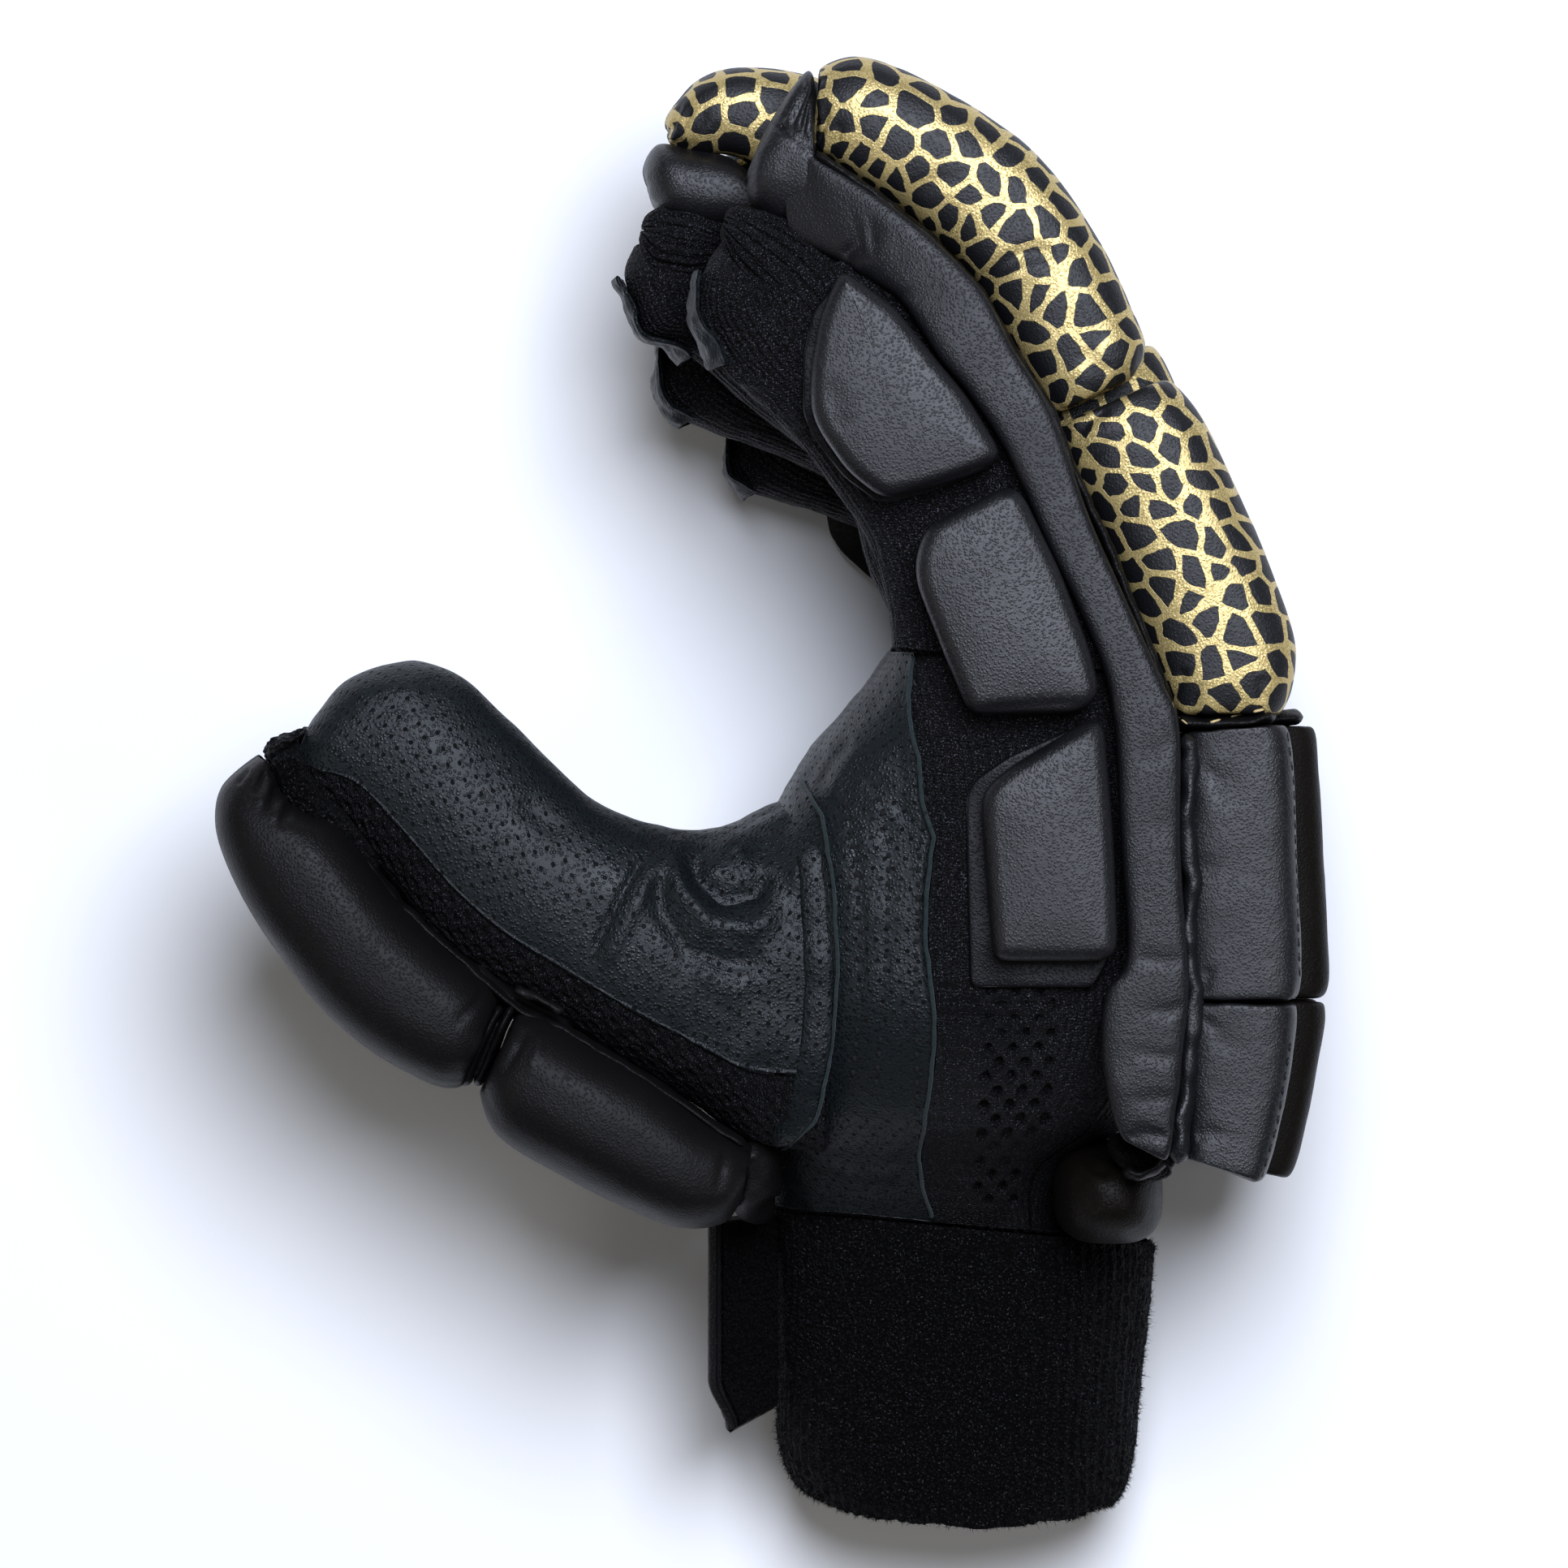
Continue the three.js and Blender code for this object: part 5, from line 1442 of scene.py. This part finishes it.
def stitches(name, lines, pitch, long, thick, material, tree, raise_by=0.1):
    """Rows of thread stitches that dip into the surface at both ends."""
    vertices, faces, uvs = [], [], []
    turns = np.arange(6) * math.pi / 3
    for line in lines:
        run = smooth_line(line, 0.15)
        before = distance_along(run)
        for start in np.arange(0.3, before[-1] - long, pitch):
            at = start + long * np.array([0, 0.14, 0.5, 0.86, 1])
            plan = np.stack([np.interp(at, before, run[:, k]) for k in (0, 1)], -1)
            z = heights_on(tree, plan, HAND_HIGH)
            z = np.interp(at, at[[0, 2, 4]], z[[0, 2, 4]]) + raise_by + thick * np.array([-1.6, 0, 0.5, 0, -1.6])
            way = np.append(plan[-1] - plan[0], z[-1] - z[0])
            way /= np.linalg.norm(way)
            side = np.cross(way, [0, 0, 1])
            up = np.cross(side, way)
            first = len(vertices)
            for k, size in enumerate((0.5, 0.95, 1, 0.95, 0.5)):
                for turn in turns:
                    reach = thick * size
                    vertices.append([*plan[k], z[k]] + reach * (side * math.cos(turn) + up * math.sin(turn)))
            for k in range(4):
                for j in range(6):
                    q = (j + 1) % 6
                    faces.append([first + 6 * k + j, first + 6 * k + q, first + 6 * k + 6 + q, first + 6 * k + 6 + j])
                    uvs += [[j, k], [j + 1, k], [j + 1, k + 1], [j, k + 1]]
            faces += [[first + j for j in range(5, -1, -1)], [first + 24 + j for j in range(6)]]
            uvs += [[0, 0]] * 12
    return finish_mesh(name, vertices, faces, np.array(uvs) * 0.5, material)


def fibres(name, P, normals, count, long, material, seed, where=None, wide=0.07):
    """Loose fibre ends on a surface, each one narrow blade, bent once."""
    pick = np.random.default_rng(seed)
    weights = np.ones(P.shape[:2]) if where is None else where
    weights = weights[:-1] / weights[:-1].sum()
    at = pick.choice(weights.size, count, p=weights.ravel())
    i, j = np.divmod(at, P.shape[1])
    k = (j + 1) % P.shape[1]
    a, b = pick.random((2, count, 1))
    base = (P[i, j] * (1 - a) + P[i + 1, j] * a) * (1 - b) + P[i, k] * b
    lean = normals[i, j] + 0.75 * pick.normal(size=(count, 3))
    lean /= np.linalg.norm(lean, axis=1, keepdims=True)
    side = np.cross(lean, pick.normal(size=(count, 3)))
    side *= wide / (np.linalg.norm(side, axis=1, keepdims=True) + 1e-9)
    reach = long * (0.35 + 0.65 * pick.random((count, 1)))
    elbow = base + lean * reach * 0.55
    tip = elbow + (lean + 0.8 * pick.normal(size=(count, 3))) * reach * 0.45
    vertices = np.stack([base - side, base + side, elbow + side * 0.7, elbow - side * 0.7, tip], 1).reshape(-1, 3)
    first = np.arange(count)[:, None] * 5
    faces = (first + [0, 1, 2, 3]).tolist() + (first + [3, 2, 4]).tolist()
    return finish_mesh(name, vertices, faces, None, material)


for number, (key, finger) in enumerate(FINGERS.items()):
    shift = finger["rise"] / UNIT_X
    seam_strip(f"{key}_knuckle_seam", [(1446, 888), (1490, 893), (1540, 889), (1574 + shift, 882)], (1.5, 9.4),
               SHADED_LEATHER, z=[HAND_LOW + FINGER_PITCH * (finger["slot"] + 0.5)], wobble=0.3,
               coarse=2.5, seed=170 + number, around=20)

TOP = tree_of("index_distal_roll", "index_proximal_roll", "index_side_bar", "index_back_pad_upper",
              "index_back_pad_lower", "index_knuckle_seam", "radial_mesh", "palm_leather", "thumb_leather",
              "thumb_mesh", "thumb_distal_pad", "thumb_proximal_pad", "index_tip_cap")

seam_strip("gold_seam", [(1004, 190), (1058, 226), (1134, 284), (1204, 356), (1246, 430), (1295, 508), (1322, 580),
                         (1366, 675), (1404, 770), (1441, 868)], (0.9, 2.6), SHADED_LEATHER,
           z=[99.2], wobble=0.25, seed=141)
seam_strip("back_seam_gather", [(1462, 905), (1467, 950), (1462, 1010), (1468, 1080), (1464, 1150), (1470, 1215),
                                (1464, 1290), (1458, 1365), (1450, 1436)], (1.8, 2.4), BLACK_LEATHER,
           z=[99.3], wobble=0.7, coarse=3.6, seed=142, around=16)
seam_strip("heel_loop", [(1384, 1440), (1404, 1450), (1424, 1440), (1438, 1424), (1446, 1440)],
           (1.2, 2.6), SHADED_LEATHER, z=[92], wobble=0.6, coarse=2.2, seed=143, around=16)
# Painted shade: a dark strip of hook tape standing for the shadowed recess at the heel.
seam_strip("heel_recess_shade", [(1366, 1402), (1400, 1424), (1444, 1446)], (3.4, 6), HOOK_TAPE, z=[87],
           wobble=0.6, coarse=3, seed=149, around=20)
seam_strip("thumb_seam_lip", [(384, 1000), (424, 1030), (489, 1112), (540, 1160), (600, 1212), (642, 1248),
                              (690, 1266), (745, 1300), (803, 1334), (862, 1378), (918, 1414)], (1.1, 9.0),
           SHADED_LEATHER, z=[84, 85, 85, 84], wobble=0.3, coarse=2.4, seed=144, around=18)
seam_strip("thumb_seam_gusset", [(574, 1186), (612, 1222), (650, 1250), (706, 1274)], (2.6, 8.5), SHADED_LEATHER,
           z=[82], wobble=0.4, coarse=3, seed=180, around=20)
seam_strip("thumb_knit_roll", [(354, 906), (354, 930), (361, 960), (380, 996), (416, 1030), (462, 1080)], (4.9, 9.0),
           TOWELLING, z=[86, 86, 84], wobble=0.6, coarse=1.5, seed=181, around=50, step=0.4)
for number, shift in enumerate((-7, 8)):
    seam_strip(f"thumb_pad_piping_{number + 1}", [(624 + shift, 1238), (609 + shift, 1268), (592 + shift, 1306),
                                                  (577 + shift, 1340)], (1.05, 11), SHADED_LEATHER,
               z=[86, 86, 82, 80], wobble=0.15, seed=145 + number, around=18)
seam_strip("thumb_pad_core", [(616, 1246), (601, 1290), (585, 1334)], (2.3, 9), SHADED_LEATHER,
           z=[83, 80], wobble=0.1, coarse=3, seed=154, around=20)
seam_strip("thumb_flap", [(634, 1221), (660, 1228), (696, 1248)], (0.9, 1.6), SHADED_LEATHER,
           z=[94], wobble=0.5, seed=147)
seam_strip("palm_gusset", [(922, 1398), (929, 1450), (930, 1490), (950, 1512)], (5.2, 14), SHADED_LEATHER,
           z=[72, 62, 52], wobble=0.4, coarse=4, seed=148, around=24)
seam_strip("raw_edge_thumb", [(986, 958), (1014, 1010), (1027, 1090), (1032, 1200), (1027, 1280), (1007, 1380),
                              (962, 1424)], (0.38, 0.75), RAW_SUEDE, tree=TOP, lift=1.3, wobble=0.2,
           coarse=2.6, seed=150)
seam_strip("thumb_root_hem", [(1000, 1036), (1005, 1090), (1010, 1200), (1006, 1280), (990, 1366),
                              (948, 1412)], (3.0, 1.0), PALM_LEATHER, tree=TOP, lift=0.1, wobble=0.1,
           coarse=6, seed=153, around=30)
seam_strip("raw_edge_palm", palm[2:-2, 0], (0.42, 0.7), RAW_SUEDE, lift=-0.1, wobble=0.2, coarse=2.6,
           seed=151)
seam_strip("raw_edge_little", palm[2:-2, -1], (0.42, 0.7), RAW_SUEDE, lift=0.1, wobble=0.2, coarse=2.6,
           seed=152)
stitches("gold_thread", [[(1440, 858), (1447, 880), (1462, 892), (1476, 897)],
                         [(1488, 891), (1510, 885), (1540, 878), (1574, 870)]], 4.4, 2.3, 0.30, GOLD_THREAD,
         TOP, 0.2)
stitches("back_pad_thread", [[(1586, 900), (1594, 960), (1598, 1080), (1602, 1215)],
                             [(1591, 1282), (1574, 1386), (1553, 1456)]], 2.9, 2.0, 0.20, BLACK_THREAD,
         TOP)
stitches("palm_thread", [[(1040, 985), (1054, 1060), (1060, 1150), (1058, 1250), (1050, 1335)],
                         [(1078, 962), (1095, 1040), (1093, 1150), (1087, 1260), (1079, 1340)],
                         [(803, 1047), (778, 1088), (753, 1134), (727, 1192)],
                         [(1122, 930), (1142, 980), (1132, 1060), (1128, 1200), (1131, 1400), (1130, 1485)]],
         2.8, 1.3, 0.46, SHADED_THREAD, TOP)

edge_fuzz = smooth((S_CUFF - 0.93) / 0.05) * 6 + 1 + 3 * (np.abs(CUFF_NORMALS[..., 2]) < 0.5)
fibres("cuff_fibres", CUFF_OUTER, CUFF_NORMALS, 13000, 1.3, TOWELLING, 161, edge_fuzz)
fibres("strap_fibres", tape, np.broadcast_to([0.5, 0, 0.86], tape.shape), 2500, 0.9, HOOK_TAPE, 162)

# Floor, lights and camera

floor = bpy.data.meshes.new("floor")
floor.from_pydata([(-3, -3, 0), (3, -3, 0), (3, 3, 0), (-3, 3, 0)], [], [(0, 1, 2, 3)])
paint = Paint("floor", **{"Base Color": rgb(0.93, 0.93, 0.93), "Roughness": 0.85})
floor.materials.append(paint.material)
floor = bpy.data.objects.new("floor", floor)
bpy.context.scene.collection.objects.link(floor)

world = bpy.data.worlds.new("studio")
bpy.context.scene.world = world
world.use_nodes = True
world.node_tree.nodes["Background"].inputs[0].default_value = (1, 1, 1, 1)
world.node_tree.nodes["Background"].inputs[1].default_value = 0.09


def soft_light(name, at, target, size, power, color=(1, 1, 1)):
    data = bpy.data.lights.new(name, "AREA")
    data.shape = "DISK"
    data.size = size
    data.energy = power
    data.color = color
    light = bpy.data.objects.new(name, data)
    light.location = at
    light.rotation_euler = (Vector(target) - Vector(at)).to_track_quat("-Z", "Y").to_euler()
    bpy.context.scene.collection.objects.link(light)


soft_light("key", (0.20, 0.50, 1.5), (0, 0, 0.08), 0.85, 31, (0.88, 0.94, 1.10))
soft_light("fill", (0.7, -0.3, 1.2), (0, 0, 0.06), 0.6, 1.5)
soft_light("side", (-1.0, -0.3, 0.9), (0, 0, 0.06), 0.6, 1.5, (1.0, 0.96, 0.90))

VIEW_DISTANCE = 2.4
VIEW_TOP = 0.095
FRAME_UNITS = 1932
camera_data = bpy.data.cameras.new("camera")
camera_data.sensor_width = 36
camera_data.lens = 36 * VIEW_DISTANCE / (FRAME_UNITS * UNIT_X * MM)
camera_data.clip_end = 20
camera = bpy.data.objects.new("camera", camera_data)
cx, cy = place(FRAME_UNITS / 2, FRAME_UNITS / 2)
camera.location = (cx * MM, cy * MM, VIEW_TOP + VIEW_DISTANCE)
bpy.context.scene.collection.objects.link(camera)
bpy.context.scene.camera = camera
bpy.context.scene.view_settings.view_transform = "Standard"
